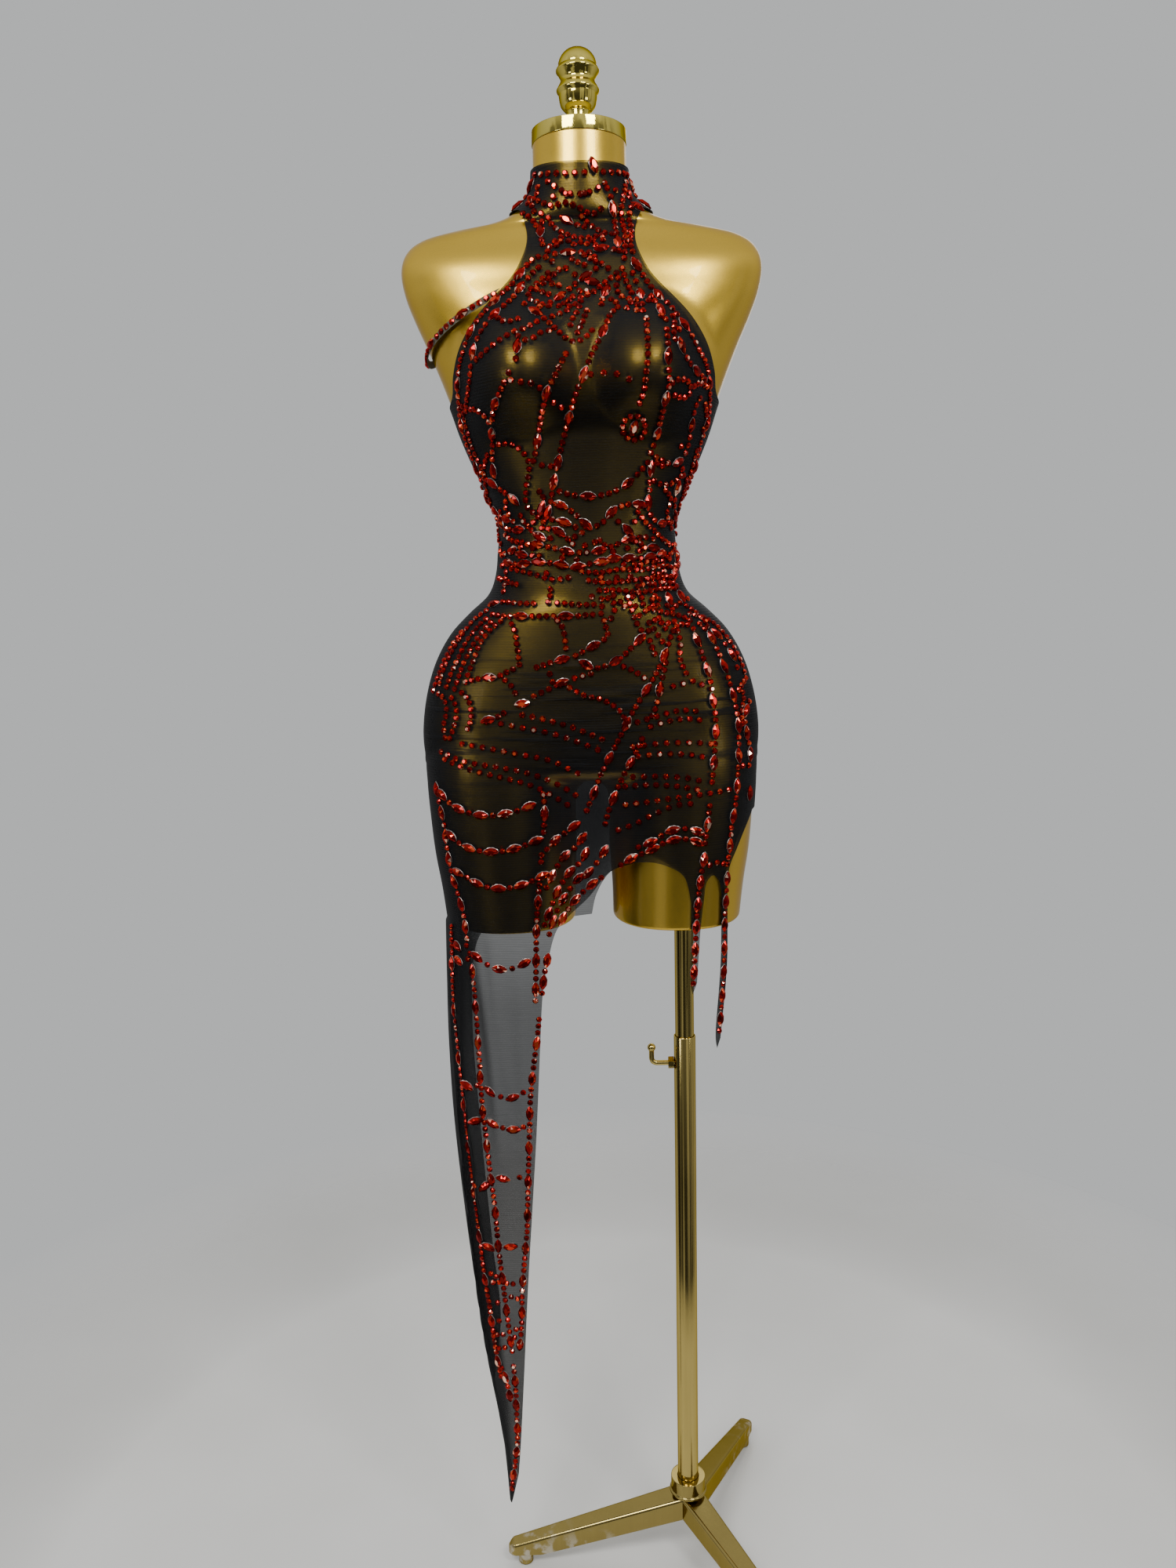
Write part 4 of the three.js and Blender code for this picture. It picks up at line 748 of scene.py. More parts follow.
def cup_depth(x, z):
    """How far the cups stand out: out (1 - far)^1.5, far = ((|x| - x0) / across)² + ((z - z0) / tall)²."""
    tall = np.where(z > CUP["z"], CUP["above"], CUP["below"])
    far = ((np.abs(x) - CUP["x"]) / CUP["across"]) ** 2 + ((z - CUP["z"]) / tall) ** 2
    return CUP["out"] * np.maximum(0, 1 - far) ** 1.5


def half_sections(rows, heights, side, cups=False, count=241):
    """The front (side -1) or back (side 1) half of each section, from its left end to its right end.

    x = x0 + half c |c|^(2/q - 1) and y = y0 + side (depth |s|^(2/q) + cup), c and s the cosine and sine of
    an angle from pi to 0 and q the squareness.
    """
    angle = np.linspace(np.pi, 0, count)
    x0, y0, half, front, back, square = [column[:, None] for column in rows.T]
    x = x0 + half * signed_power(np.cos(angle), 2 / square)
    deep = np.abs(np.sin(angle)) ** (2 / square)
    z = np.broadcast_to(np.asarray(heights, dtype=float)[:, None], x.shape)
    cup = cup_depth(x, z) * np.minimum(1, deep * 1.5) if cups and side < 0 else 0
    y = y0 + side * (deep * (front if side < 0 else back) + cup)
    return np.stack([x, y, z], axis=-1)


def whole_sections(rows, heights, front_columns, back_columns, cups=False):
    """Whole sections spaced evenly, the front half and then the back half."""
    fronts, backs = (half_sections(rows, heights, side, cups, 721) for side in (-1, 1))
    return [np.concatenate([spaced(front, front_columns + 1), spaced(back, back_columns + 1)[-2:0:-1]])
            for front, back in zip(fronts, backs)]


# ---------------------------------------------------------------- the cloth


def tight_band(points, side, columns):
    """The tight band round the points of one level, from its left end to its right end.

    For each direction n = (cos a, side sin a), a from pi to 0, it passes through the point with the
    greatest p · n, and its columns are spaced evenly along it.
    """
    turn = np.linspace(np.pi, 0, 721)
    reach = points[:, :2] @ np.stack([np.cos(turn), side * np.sin(turn)])
    return spaced(points[np.argmax(reach, axis=0)], columns)


def panel_sheet(cut):
    """The level bands that a panel's cloth follows, one row of points for each height."""
    side = cut["side"]
    spots = np.arange(SHEET_TOP, cut["foot"] - 1, -1.0)
    fine = (spots > FINE_ROWS[0]) & (spots < FINE_ROWS[1])
    steps = np.cumsum(1 / np.where(fine, cut["close"], cut["apart"]))
    sheet = []
    for z in np.interp(np.arange(steps[0], steps[-1], 1.0), steps, spots):
        level = []
        if z > TORSO[-1, 0]:
            level.append(half_sections(torso_rows(z), [z], side, True)[0])
        if z < STUB[0, 0]:
            low = max(z, STUB_END)
            left = stub_rows(low, -1) if z > STUB_END else read_rows(POINT, z)[:, 1:]
            level += [half_sections(rows, [z], side)[0] for rows in (left, stub_rows(low, 1))]
        sheet.append(tight_band(np.concatenate(level), side, cut["columns"]))
    return np.array(sheet)


def outward(sheet, side):
    """Unit normals of a sheet: across × down, turned to the outside."""
    return unit(np.cross(np.gradient(sheet, axis=1), np.gradient(sheet, axis=0)) * side)


def round_the_cloth(sheet):
    """Each point's distance along its row from the row's middle of the front or back, where x = 0 or nearest."""
    along = np.array([lengths(row) for row in sheet])
    middle = [np.interp(0, row[:, 0], gone) for row, gone in zip(sheet, along)]
    return along - np.array(middle)[:, None]


def crease_height(across, z, creases):
    """The sum over the creases of height exp(-(d / width)²) (4 t (1 - t))^0.7.

    t is the share of the way along the crease and d the distance from its bowed middle line.
    """
    total = np.zeros_like(across)
    for x0, z0, x1, z1, bow, width, height in creases:
        run, fall = x1 - x0, z1 - z0
        length = math.hypot(run, fall)
        t = ((across - x0) * run + (z - z0) * fall) / length**2
        fade = np.maximum(0, 4 * t * (1 - t))
        d = ((z - z0) * run - (across - x0) * fall) / length - bow * fade
        total += height * np.exp(-((d / width) ** 2)) * fade**0.7
    return total


def cloth_face(sheet, cut, strength, distance):
    """A face of the cloth: its sheet moved out by a distance and the creases, with its ends left at the seams."""
    side = cut["side"]
    raised = crease_height(round_the_cloth(sheet), sheet[..., 2], cut["creases"]) * strength
    face = sheet + outward(sheet, side) * (distance + raised)[..., None]
    face[:, [0, -1], 1] = sheet[:, [0, -1], 1] + side * SEAM_GAP / 2
    return face


def outline(cut):
    """A panel's whole outline in X and Z: the halter that both share and its own hem, with no point twice."""
    flip = np.array([-1, 1])
    t = np.linspace(0, 1, 25)[:, None]
    corner = np.array([ARMHOLE[0, 0], COLLAR_SIDE])
    control = np.array([0, 2 * COLLAR_MIDDLE - COLLAR_SIDE])
    collar = (1 - t) ** 2 * corner * flip + 2 * t * (1 - t) * control + t**2 * corner
    side = ARMHOLE[-1, 1]
    points = np.concatenate([
        [(-OUTSIDE, side)], curve((ARMHOLE * flip)[::-1]), collar, ARMHOLE[:1], curve(ARMHOLE[1:]),
        [(OUTSIDE, side)], *(curve(stretch) for stretch in cut["hem"]),
    ])
    return points[np.linalg.norm(points - np.roll(points, 1, axis=0), axis=1) > 0.05]


def pattern(cut, past, shift=(0, 0)):
    """A panel's outline pushed through the cloth, from a little past the side seams to well outside it."""
    near, far = sorted((cut["side"] * PATTERN_FAR, -cut["side"] * past))
    return slab(outline(cut) + shift, near, far)


def cloth_map(thing, flat):
    """Gives a piece the UV map Cloth: for each point, how far along and up the cloth it lies, in metres."""
    corners = np.empty(len(thing.data.loops), dtype=np.int32)
    thing.data.loops.foreach_get("vertex_index", corners)
    thing.data.uv_layers.new(name="Cloth").uv.foreach_set("vector", (flat[corners] * MM).ravel())


def panel(name, cut, strength):
    """A panel: the closed wall between the cloth's outer and inner faces, trimmed to its outline."""
    sheet = panel_sheet(cut)
    rows, columns = sheet.shape[:2]
    quads, inner = grid_quads(rows, columns), rows * columns
    border = np.concatenate([
        np.arange(columns), np.arange(2, rows + 1) * columns - 1,
        (rows - 1) * columns + np.arange(columns - 2, -1, -1), np.arange(rows - 2, 0, -1) * columns,
    ])
    beside = np.roll(border, -1)
    wall = np.stack([beside, border, border + inner, beside + inner], axis=-1)
    faces = [cloth_face(sheet, cut, strength, distance) for distance in (CLOTH_OUT, CLOTH_GAP)]
    thing = build(name, np.concatenate(faces), [quads, quads[:, ::-1] + inner, wall])
    flat = np.stack([round_the_cloth(sheet), sheet[..., 2]], axis=-1).reshape(-1, 2)
    cloth_map(thing, np.concatenate([flat, flat]))
    combine(thing, pattern(cut, PAST_SEAM), "INTERSECT", 50)
    return thing


def strap_line(angle):
    """The strap's middle line on the form's skin, and the unit directions out from it and across it.

    z = z0 + rise |a / reach|^1.5 for the angle a round the side of the shoulder, front to back.
    """

    def on_skin(a):
        """Points of the line at some angles."""
        z = STRAP["z"] + STRAP["rise"] * np.abs(a / STRAP["reach"]) ** 1.5
        x0, y0, half, front, back, square = torso_rows(z).T
        x = half * signed_power(np.cos(np.pi - np.abs(a)), 2 / square)
        deep = np.abs(np.sin(a)) ** (2 / square)
        fore = deep * front + cup_depth(x, z) * np.minimum(1, deep * 1.5)
        return np.stack([x, np.where(a < 0, -fore, deep * back), z], axis=1)

    here = on_skin(angle)
    along = unit(on_skin(angle + 0.01) - on_skin(angle - 0.01))
    out = unit(here * (1, 1.6, 0))
    out = unit(out - along * np.einsum("ij,ij->i", out, along)[:, None])
    return here, out, np.cross(out, along)


# ---------------------------------------------------------------- stones on the cloth


def strands():
    """Each strand of the table: its pattern, the gap between its stones and the points on its line."""
    for line in STRANDS.strip().splitlines():
        if not line.startswith("#"):
            letters, gap, *points = line.split()
            yield letters, float(gap), curve([[float(part) for part in point.split(",")] for point in points], 12)


def on_cloth(points, face):
    """Where points in X and Z lie on a panel's outer face, and the unit normals there.

    The rows of the face above and below each height are blended, and then the columns on each side of X.
    """
    both = np.concatenate([face, outward(face, -1)], axis=-1)
    row = np.interp(-points[:, 1], -face[..., 2].mean(axis=1), np.arange(len(face)))
    i = np.minimum(row.astype(int), len(face) - 2)
    t = (row - i)[:, None, None]
    level = both[i] * (1 - t) + both[i + 1] * t
    x = np.clip(points[:, 0], level[:, 0, 0] + 0.3, level[:, -1, 0] - 0.3)
    j = np.clip((level[..., 0] < x[:, None]).sum(axis=1) - 1, 0, level.shape[1] - 2)
    every = np.arange(len(points))
    a, b = level[every, j], level[every, j + 1]
    found = a + (b - a) * ((x - a[:, 0]) / (b[:, 0] - a[:, 0]))[:, None]
    return found[:, :3], found[:, 3:]


def threaded(path, facing, letters, gap):
    """Stones spread evenly along a path: their kinds, middles, directions along it and normals."""
    along = lengths(path)
    room = np.array([STONES[kind]["room"] + gap for kind in letters])
    repeats = int(along[-1] / room.sum()) + 2
    kinds, room = np.tile(list(letters), repeats), np.tile(room, repeats)
    ends = np.cumsum(room)
    count = max(1, int(np.searchsorted(ends, along[-1] + STRAND_PAST)))
    want = (ends - room / 2)[:count] * along[-1] / ends[count - 1]
    read = [np.interp(want, along, column) for table in (path, np.gradient(path, axis=0), facing)
            for column in table.T]
    here, ahead, out = np.array(read).T.reshape(count, 3, 3).transpose(1, 0, 2)
    return kinds[:count], here, unit(ahead), out


def inside(points, outline, margin):
    """Whether points in X and Z lie inside an outline, at least a margin from its edge.

    A line from a point inside towards greater X crosses the outline an odd number of times.
    """
    leg = np.roll(outline, -1, axis=0) - outline
    x, z = points[:, :1] - outline[:, 0], points[:, 1:] - outline[:, 1]
    spans = (z < 0) != (z < leg[:, 1])
    crossed = spans & (x < z * leg[:, 0] / np.where(leg[:, 1] == 0, 1, leg[:, 1]))
    t = np.clip((x * leg[:, 0] + z * leg[:, 1]) / (leg**2).sum(axis=1), 0, 1)
    away = np.hypot(x - t * leg[:, 0], z - t * leg[:, 1]).min(axis=1)
    return (crossed.sum(axis=1) % 2 == 1) & (away > margin)


def stone_axes(ahead, out, draw, turn):
    """Three unit axes for each stone, along its strand, across it and outwards, turned and tilted a little."""
    out = unit(out)
    aside = np.cross(out, ahead)
    spin = draw.uniform(-turn, turn, (len(ahead), 1))
    along = ahead * np.cos(spin) + aside * np.sin(spin)
    tilt, lean = draw.normal(0, STONE_TILT, spin.shape), draw.normal(0, STONE_TILT, spin.shape)
    out = unit(out + along * tilt + np.cross(out, along) * lean)
    aside = unit(np.cross(out, along))
    return np.stack([np.cross(aside, out), aside, out], axis=1)


def cut_stone(outline, high, table):
    """A faceted stone on an outline: low sides and a crown of triangles up to a table turned by half a step."""
    count = len(outline)
    i = np.arange(count)
    beside = (i + 1) % count
    top = (outline + outline[beside]) / 2 * table
    level = [(outline * STONE_FOOT, 0), (outline, high * STONE_GIRDLE), (top, high)]
    points = np.concatenate([np.insert(ring, 2, z, axis=1) for ring, z in level])
    sides = np.stack([i, beside, count + beside, count + i], axis=-1)
    up = np.stack([count + i, count + beside, 2 * count + i], axis=-1)
    down = np.stack([count + beside, 2 * count + beside, 2 * count + i], axis=-1)
    return points, [sides, np.concatenate([up, down]), np.stack([i[::-1], 2 * count + i])]


def oval(long, wide, count=10):
    """A pointed outline: x = long c / 2 and y = wide sign(s) (1 - c²)^0.8 / 2, c and s the cosine and sine."""
    turn = round_angles(count)
    c = np.cos(turn)
    return np.column_stack([long / 2 * c, wide / 2 * np.sign(np.sin(turn).round(9)) * (1 - c**2) ** 0.8])


def set_stones(name, stone, here, axes, draw):
    """Copies of a stone, each point p placed at here + p · axes, with painted light: a depth of colour for each
    facet.
    """
    shape, groups = stone
    points = here[:, None] + np.einsum("pk,nkj->npj", shape, axes)
    first = (np.arange(len(here)) * len(shape))[:, None, None]
    thing = build(name, points, [(group + first).reshape(-1, group.shape[1]) for group in groups], None)
    own = draw.uniform(*FACET_LIGHT["own"], len(here))
    # Painted shade on the low sides, painted glints on the facets that flash.
    shares = (FACET_LIGHT["sides"], 1, 1)
    depth = np.concatenate([np.repeat(own * share, len(group)) for group, share in zip(groups, shares)])
    spread = draw.normal(0, FACET_LIGHT["spread"], len(depth))
    depth += spread + (draw.random(len(depth)) < FACET_LIGHT["flashes"]) * FACET_LIGHT["flash"]
    thing.data.attributes.new("depth", "FLOAT", "FACE").data.foreach_set("value", depth.clip(0, 1))
    return thing


# ---------------------------------------------------------------- finishes


def both_ways(operation):
    """An operator and its reflected form, each of which adds a Math node."""
    return (lambda self, other: self.finish.math(operation, self, other),
            lambda self, other: self.finish.math(operation, other, self))


class Value:
    """A number that varies over a surface; arithmetic on it adds Math nodes."""

    def __init__(self, finish, socket):
        self.finish = finish
        self.socket = socket

    __add__, __radd__ = both_ways("ADD")
    __sub__, __rsub__ = both_ways("SUBTRACT")
    __mul__, __rmul__ = both_ways("MULTIPLY")
    __truediv__, __rtruediv__ = both_ways("DIVIDE")
    __pow__, __rpow__ = both_ways("POWER")

    def at_least(self, least):
        """The greater of this and a number."""
        return self.finish.math("MAXIMUM", self, least)

    def clipped(self):
        """This, kept between 0 and 1."""
        return self.finish.math("MINIMUM", self, 1.0).at_least(0.0)


class Finish:
    """One material, or the world, while it is wired."""

    def __init__(self, name, store=None, **sockets):
        self.material = (bpy.data.materials if store is None else store).new(name)
        self.material.use_nodes = True
        self.tree = self.material.node_tree
        self.surface = self.tree.nodes["Principled BSDF" if store is None else "Background"]
        self.set(**sockets)

    def connect(self, value, socket):
        """Puts a number, a colour or another node's output into a socket."""
        if isinstance(value, Value):
            self.tree.links.new(value.socket, socket)
        elif socket.type == "RGBA":
            socket.default_value = (*value, 1.0)
        else:
            socket.default_value = value

    def set(self, **sockets):
        """Sets the surface's sockets, with _ for the spaces in their names."""
        for name, value in sockets.items():
            self.connect(value, self.surface.inputs[name.replace("_", " ").title().replace("Ior", "IOR")])

    def node(self, kind, sockets=None, output=0, **settings):
        """Any other node: its settings are set first, then its sockets; a ramp's stops are (place, colour)."""
        node = self.tree.nodes.new(f"ShaderNode{kind}")
        for name, value in settings.items():
            if name == "stops":
                elements = node.color_ramp.elements
                while len(elements) < len(value):
                    elements.new(0.5)
                for element, (place, tone) in zip(elements, value):
                    element.position = place
                    element.color = (*tone, 1.0)
            else:
                setattr(node, name, value)
        for name, value in (sockets or {}).items():
            self.connect(value, node.inputs[name])
        return Value(self, node.outputs[output])

    def math(self, operation, *values):
        """A Math node on one to three values."""
        return self.node("Math", dict(enumerate(values)), operation=operation)

    def place(self, cloth=False, scale=(1, 1, 1)):
        """Object coordinates or the cloth's own UV map, stretched."""
        source = self.node("UVMap", uv_map="Cloth") if cloth else self.node("TexCoord", output="Object")
        return self.node("Mapping", {"Vector": source, "Scale": scale})

    def axis(self, vector, index):
        """One coordinate of a vector."""
        return self.node("SeparateXYZ", {"Vector": vector}, index)

    def noise(self, scale, detail=2.0, place=None):
        """Smooth random values round 0.5."""
        return self.node("TexNoise", {"Scale": scale, "Detail": detail, "Vector": place or self.place()})

    def facing(self):
        """How far the surface is turned away from the eye, 0 where it is seen square on and 1 at its edges."""
        return self.node("LayerWeight", {"Blend": 0.5}, 1)

    def blend(self, share, first, second):
        """A colour that goes from first to second."""
        return self.node("Mix", {0: share, 6: first, 7: second}, 2, data_type="RGBA")

    def bump(self, height, distance):
        """The surface's normal, pushed by a height."""
        self.set(normal=self.node("Bump", {"Height": height, "Distance": distance, "Strength": 1.0}))


def tones(tint, *shares):
    """A colour made darker or lighter by each share."""
    return [[min(1, part * share) for part in tint] for share in shares]


def gold_paint(settings):
    """Satin gold lacquer with fine metal flake and a clear coat."""
    gold = Finish("gold_paint", metallic=1.0, coat_weight=0.42, coat_roughness=0.03, specular_tint=(0.5, 0.4, 0.2))
    flake, cloud = gold.noise(2600, 1.0), gold.noise(7, 3.0)
    share = ((flake - 0.5) * 1.6 + (cloud - 0.5) * 0.7 + 0.5).clipped()
    gold.set(base_color=gold.blend(share, *tones(settings.paint_colour, 0.84, 1.14)),
             roughness=0.32 + (flake - 0.5) * 0.2 + (cloud - 0.5) * 0.08)
    gold.bump(gold.noise(60) * 0.6 + flake * 0.1, 0.0002)
    return gold.material


def gold_plate(settings):
    """Bright plated metal with faint smears, with painted shade: its colour deepens towards the edges seen edge-on.
    """
    plate = Finish("gold_plate", metallic=1.0, specular_tint=(0.45, 0.36, 0.12))
    smear = plate.noise(26, 4.0)
    low, high, painted_light_rim = tones(settings.plate_colour, 0.9, 1.06, 0.3)
    # Painted shade: where the surface is seen edge-on, its colour darkens towards a third of the plate colour.
    edge = ((plate.facing() - 0.2) * 1.5).clipped()
    plate.set(base_color=plate.blend(edge, plate.blend(smear, low, high), painted_light_rim),
              roughness=(0.05 + (smear - 0.45) * 0.22).at_least(0.035))
    plate.bump(plate.noise(320), 0.00004)
    return plate.material


def red_crystal(settings):
    """Foil-backed red glass: each facet's depth of colour is painted light, from dark facets to glints, under a
    clear polish.
    """
    glass = Finish("red_crystal", metallic=0.85, roughness=0.11, coat_weight=0.14, coat_roughness=0.03,
                   specular_ior_level=0.15, specular_tint=(1.0, 0.35, 0.3))
    deep, bright = settings.deep_colour, settings.bright_colour
    middle = [a * 0.6 + b * 0.4 for a, b in zip(deep, bright)]
    # The two top stops are painted glints, orange-red and near white.
    stops = [(0.0, deep), (0.38, middle), (0.68, bright), (0.88, (1.0, 0.13, 0.04)), (1.0, (1.0, 0.62, 0.45))]
    depth = glass.node("Attribute", output=2, attribute_name="depth")
    glass.set(base_color=glass.node("ValToRGB", {"Fac": depth}, stops=stops))
    return glass.material


def highlight_setting():
    """A pale plate under a pointed stone that shows along its upper edge: a painted highlight."""
    plate = Finish("highlight_setting", metallic=0.7, roughness=0.3)
    plate.set(base_color=plate.blend(plate.noise(240), (0.16, 0.12, 0.11), (0.42, 0.36, 0.33)))
    return plate.material


def stand_brass(settings, name="stand_brass", worn=False):
    """Drawn brass with fine scratches along its length, or a darker one with pale wear near the floor."""
    brass = Finish(name, metallic=1.0, specular_tint=(0.6, 0.5, 0.3))
    drawn = brass.noise(60, 1.5, brass.place(scale=(7, 7, 0.15)))
    smear = brass.noise(19, 4.0)
    dark = 0.62 if worn else 0.95
    share = ((drawn - 0.5) * 0.5 + (smear - 0.5) * 0.8 + 0.5).clipped()
    tone = brass.blend(share, *tones(settings.brass_colour, dark * 0.86, dark * 1.1))
    rough = 0.13 + (drawn - 0.5) * 0.06 + (smear - 0.5) * 0.12
    if worn:
        low = (1 - (brass.axis(brass.place(), 2) - 0.018) / 0.03).clipped()
        patch = low * ((brass.noise(70, 4.0) - 0.52) * 9).clipped() * 0.75
        tone = brass.blend(patch, tone, (0.66, 0.62, 0.52))
        rough = rough + patch * 0.4
    brass.set(base_color=tone, roughness=rough.clipped())
    brass.bump(drawn + smear * 0.5, 0.000005)
    return brass.material


def sheer_mesh(settings):
    """Black stretch mesh: each face lets share^(cos^-1.9) of the light through, so it goes black edge on.

    The cloth that hangs free below 0.86 m isn't stretched and fine creases cross the hips, so both are denser.
    The cloth between the thighs is denser too: partly gathers, partly painted shade over the form's lower edge.
    """
    mesh = Finish("sheer_mesh", roughness=0.6, specular_ior_level=0.06)
    place = mesh.place(cloth=True)
    u, v = mesh.axis(place, 0), mesh.axis(place, 1)
    drift = mesh.noise(9, 2.0, place)
    wander = mesh.noise(1.0, 2.0, mesh.place(cloth=True, scale=(40, 520, 1)))
    streaks = mesh.noise(1.0, 3.0, mesh.place(cloth=True, scale=(11, 170, 1)))
    rib = mesh.math("SINE", (v / settings.rib_spacing + (drift - 0.5) * 2.4) * (2 * math.pi)) * 0.5 + 0.5
    slack = ((0.86 - v) * 9).clipped()
    # Painted shade: a denser, darker patch between the thighs, partly for the gathers there.
    gathers_and_shade = math.e ** (0 - (u / 0.045) ** 2 - ((v - 0.955) / 0.075) ** 2) * 1.3
    streaks = ((streaks - 0.53) * 9).clipped() * math.e ** (0 - ((v - 1.06) / 0.06) ** 2)
    thickness = 0.84 + rib * 0.16 + wander * 0.24 + slack * 0.42 + gathers_and_shade + streaks * 0.8
    through = (1 / (1 - mesh.facing()).at_least(0.045)) ** 1.9 * thickness
    mesh.set(alpha=(1 - settings.see_through ** through).clipped(),
             base_color=mesh.blend((rib * 0.6 + wander * 0.5).clipped(), *tones(settings.mesh_colour, 0.7, 1.5)))
    mesh.bump(rib * 0.5 + wander * 0.8 + streaks * 2, 0.0003)
    return mesh.material


# ---------------------------------------------------------------- operators


def finish_piece(thing, material, body, slot=None, *nodes):
    """Gives a piece its material, its body and the CAD nodes that it stands for."""
    thing.data.materials.clear()
    thing.data.materials.append(material)
    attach(thing, body)
    if slot:
        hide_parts(*nodes)
    return thing


def stand_piece(thing, material, node, body="stand"):
    """Finishes a brass piece of the stand."""
    return finish_piece(thing, material, body, "champagne_brass", node)


def put(name, data, spot, axes):
    """Adds a camera or a light at a spot in metres from the torso's foot, turned to three axes."""
    thing = bpy.data.objects.new(name, data)
    matrix = np.identity(4)
    matrix[:3, :3] = np.stack(axes, axis=1)
    matrix[:3, 3] = TORSO_AXIS + spot
    thing.matrix_world = Matrix(matrix.tolist())
    bpy.context.collection.objects.link(thing)
    return thing


class STAGEDRESS_OT_stage(bpy.types.Operator):
    """Add the camera, the floor, the surround and the lights"""

    bl_idname = "stagedress.stage"
    bl_label = "Stage"

    def execute(self, context):
        settings = context.scene.stage_dress.stage
        context.scene.camera = self.camera(settings)
        self.floor(settings)
        context.scene.world = self.surround(settings)
        for name, light in LIGHTS.items():
            self.light(name, *light)
        return {"FINISHED"}

    def camera(self, settings):
        """The view, tipped down and rolled."""
        data = bpy.data.cameras.new("view")
        data.sensor_fit = "VERTICAL"
        data.sensor_height = 36
        data.lens = settings.lens
        tip, roll = settings.tip, -settings.roll
        right, up = np.array([1.0, 0, 0]), np.array([0, math.sin(tip), math.cos(tip)])
        axes = (right * math.cos(roll) + up * math.sin(roll), up * math.cos(roll) - right * math.sin(roll),
                np.cross(right, up))
        return put("view", data, settings.eye, axes)

    def floor(self, settings):
        """A pale round floor that fades out towards its edge."""
        radius = settings.floor_radius
        floor = turned("floor", post(radius / MM, -4, -0.4), sides=128)
        pale = Finish("pale_floor", roughness=0.35)
        far = pale.node("VectorMath", {0: pale.place()}, 1, operation="LENGTH")
        pale.set(base_color=pale.blend(pale.noise(3.5, 4.0), (0.55, 0.545, 0.52), (0.66, 0.655, 0.635)),
                 alpha=((radius - far) / (radius * 0.45)).clipped())
        floor.data.materials.append(pale.material)

    def surround(self, settings):
        """A pale room: one flat colour to look at, and brighter above and darker in front for light and gloss."""
        room = Finish("surround", bpy.data.worlds)
        way = room.node("TexCoord", output="Generated")
        front = (0.15 - room.axis(way, 1)) * 2.2
        up = (room.axis(way, 2) + 0.05) * 1.7
        bands = room.noise(2.6, 2.0, room.node("Mapping", {"Vector": way, "Scale": (1, 1, 0.22)}))
        shade = front.clipped() * (1.55 - up).clipped() * (1.08 - ((bands - 0.48) * 9).clipped())
        glow = 0.48 + up.clipped() * 0.3 - shade * 0.4
        room.set(color=room.blend(room.node("LightPath"), glow, settings.surround))
        return room.material

    def light(self, name, spot, aim, size, power):
        """A soft square light whose face looks from a spot to its aim."""
        data = bpy.data.lights.new(name, "AREA")
        data.size = size
        data.energy = power
        away = unit(np.subtract(spot, aim))
        side = unit(np.cross((0, 0, 1), away))
        put(name, data, spot, (side, np.cross(away, side), away))


class STAGEDRESS_OT_form(bpy.types.Operator):
    """Add the limbless display form: a torso and two thigh stubs joined in one skin"""

    bl_idname = "stagedress.form"
    bl_label = "Display form"

    def execute(self, context):
        z = np.interp(np.linspace(0, 1, FORM["rows"]), np.linspace(0, 1, len(TORSO)), TORSO[:, 0])
        skin = lofted("form_skin", whole_sections(torso_rows(z), z, FORM["front"], FORM["back"], cups=True))
        for side in (-1, 1):
            combine(skin, self.stub(side), "UNION", 50)
        self.soften(skin)
        socket = post(MAST["radius"] + PART_GAP, FORM["socket"], MAST["top"] + PART_GAP)
        combine(skin, turned("socket", socket, x=POLE_X, sides=64), "DIFFERENCE", 50)
        finish_piece(skin, gold_paint(context.scene.stage_dress.stand), "form", "gold_paint", "form_body")
        return {"FINISHED"}

    def soften(self, skin):
        """Smooths the joins of the stubs with a smoothing modifier, by eighths of its strength, and applies it."""
        spots = np.empty(len(skin.data.vertices) * 3)
        skin.data.vertices.foreach_get("co", spots)
        share = np.interp(spots.reshape(-1, 3)[:, 2] / MM, FORM["joins"], (0, 1, 1, 0))
        group = skin.vertex_groups.new(name="joins")
        for step in range(1, 9):
            group.add(np.flatnonzero(np.round(share * 8) == step).tolist(), step / 8, "REPLACE")
        smooth = skin.modifiers.new("smooth", "SMOOTH")
        smooth.factor = 0.5
        smooth.iterations = FORM["smoothings"]
        smooth.vertex_group = group.name
        apply_steps(skin)
        skin.vertex_groups.clear()

    def stub(self, side):
        """A thigh stub whose lower edge is rounded over: the last sections shrink by edge (1 - cos a)."""
        edge, turn = FORM["edge"], np.linspace(0, np.pi / 2, 8)[1:]
        z = np.linspace(STUB[0, 0], STUB_END + edge, FORM["stub_rows"])
        z = np.concatenate([z, STUB_END + edge - edge * np.sin(turn)])
        sections = stub_rows(z, side)
        sections[-len(turn):, 2:5] -= edge * (1 - np.cos(turn))[:, None]
        return lofted("stub", whole_sections(sections, z, FORM["stub"], FORM["stub"]))


class STAGEDRESS_OT_panels(bpy.types.Operator):
    """Add the front and back panels of the dress"""

    bl_idname = "stagedress.panels"
    bl_label = "Dress panels"

    def execute(self, context):
        settings = context.scene.stage_dress.dress
        cloth = sheer_mesh(settings)
        front = panel("dress_front_cloth", FRONT, settings.crease_height)
        back = panel("dress_back_cloth", BACK, settings.crease_height)
        finish_piece(front, cloth, "form", "sheer_mesh", "dress_front")
        finish_piece(back, cloth, "form", "sheer_mesh", "dress_back")
        return {"FINISHED"}


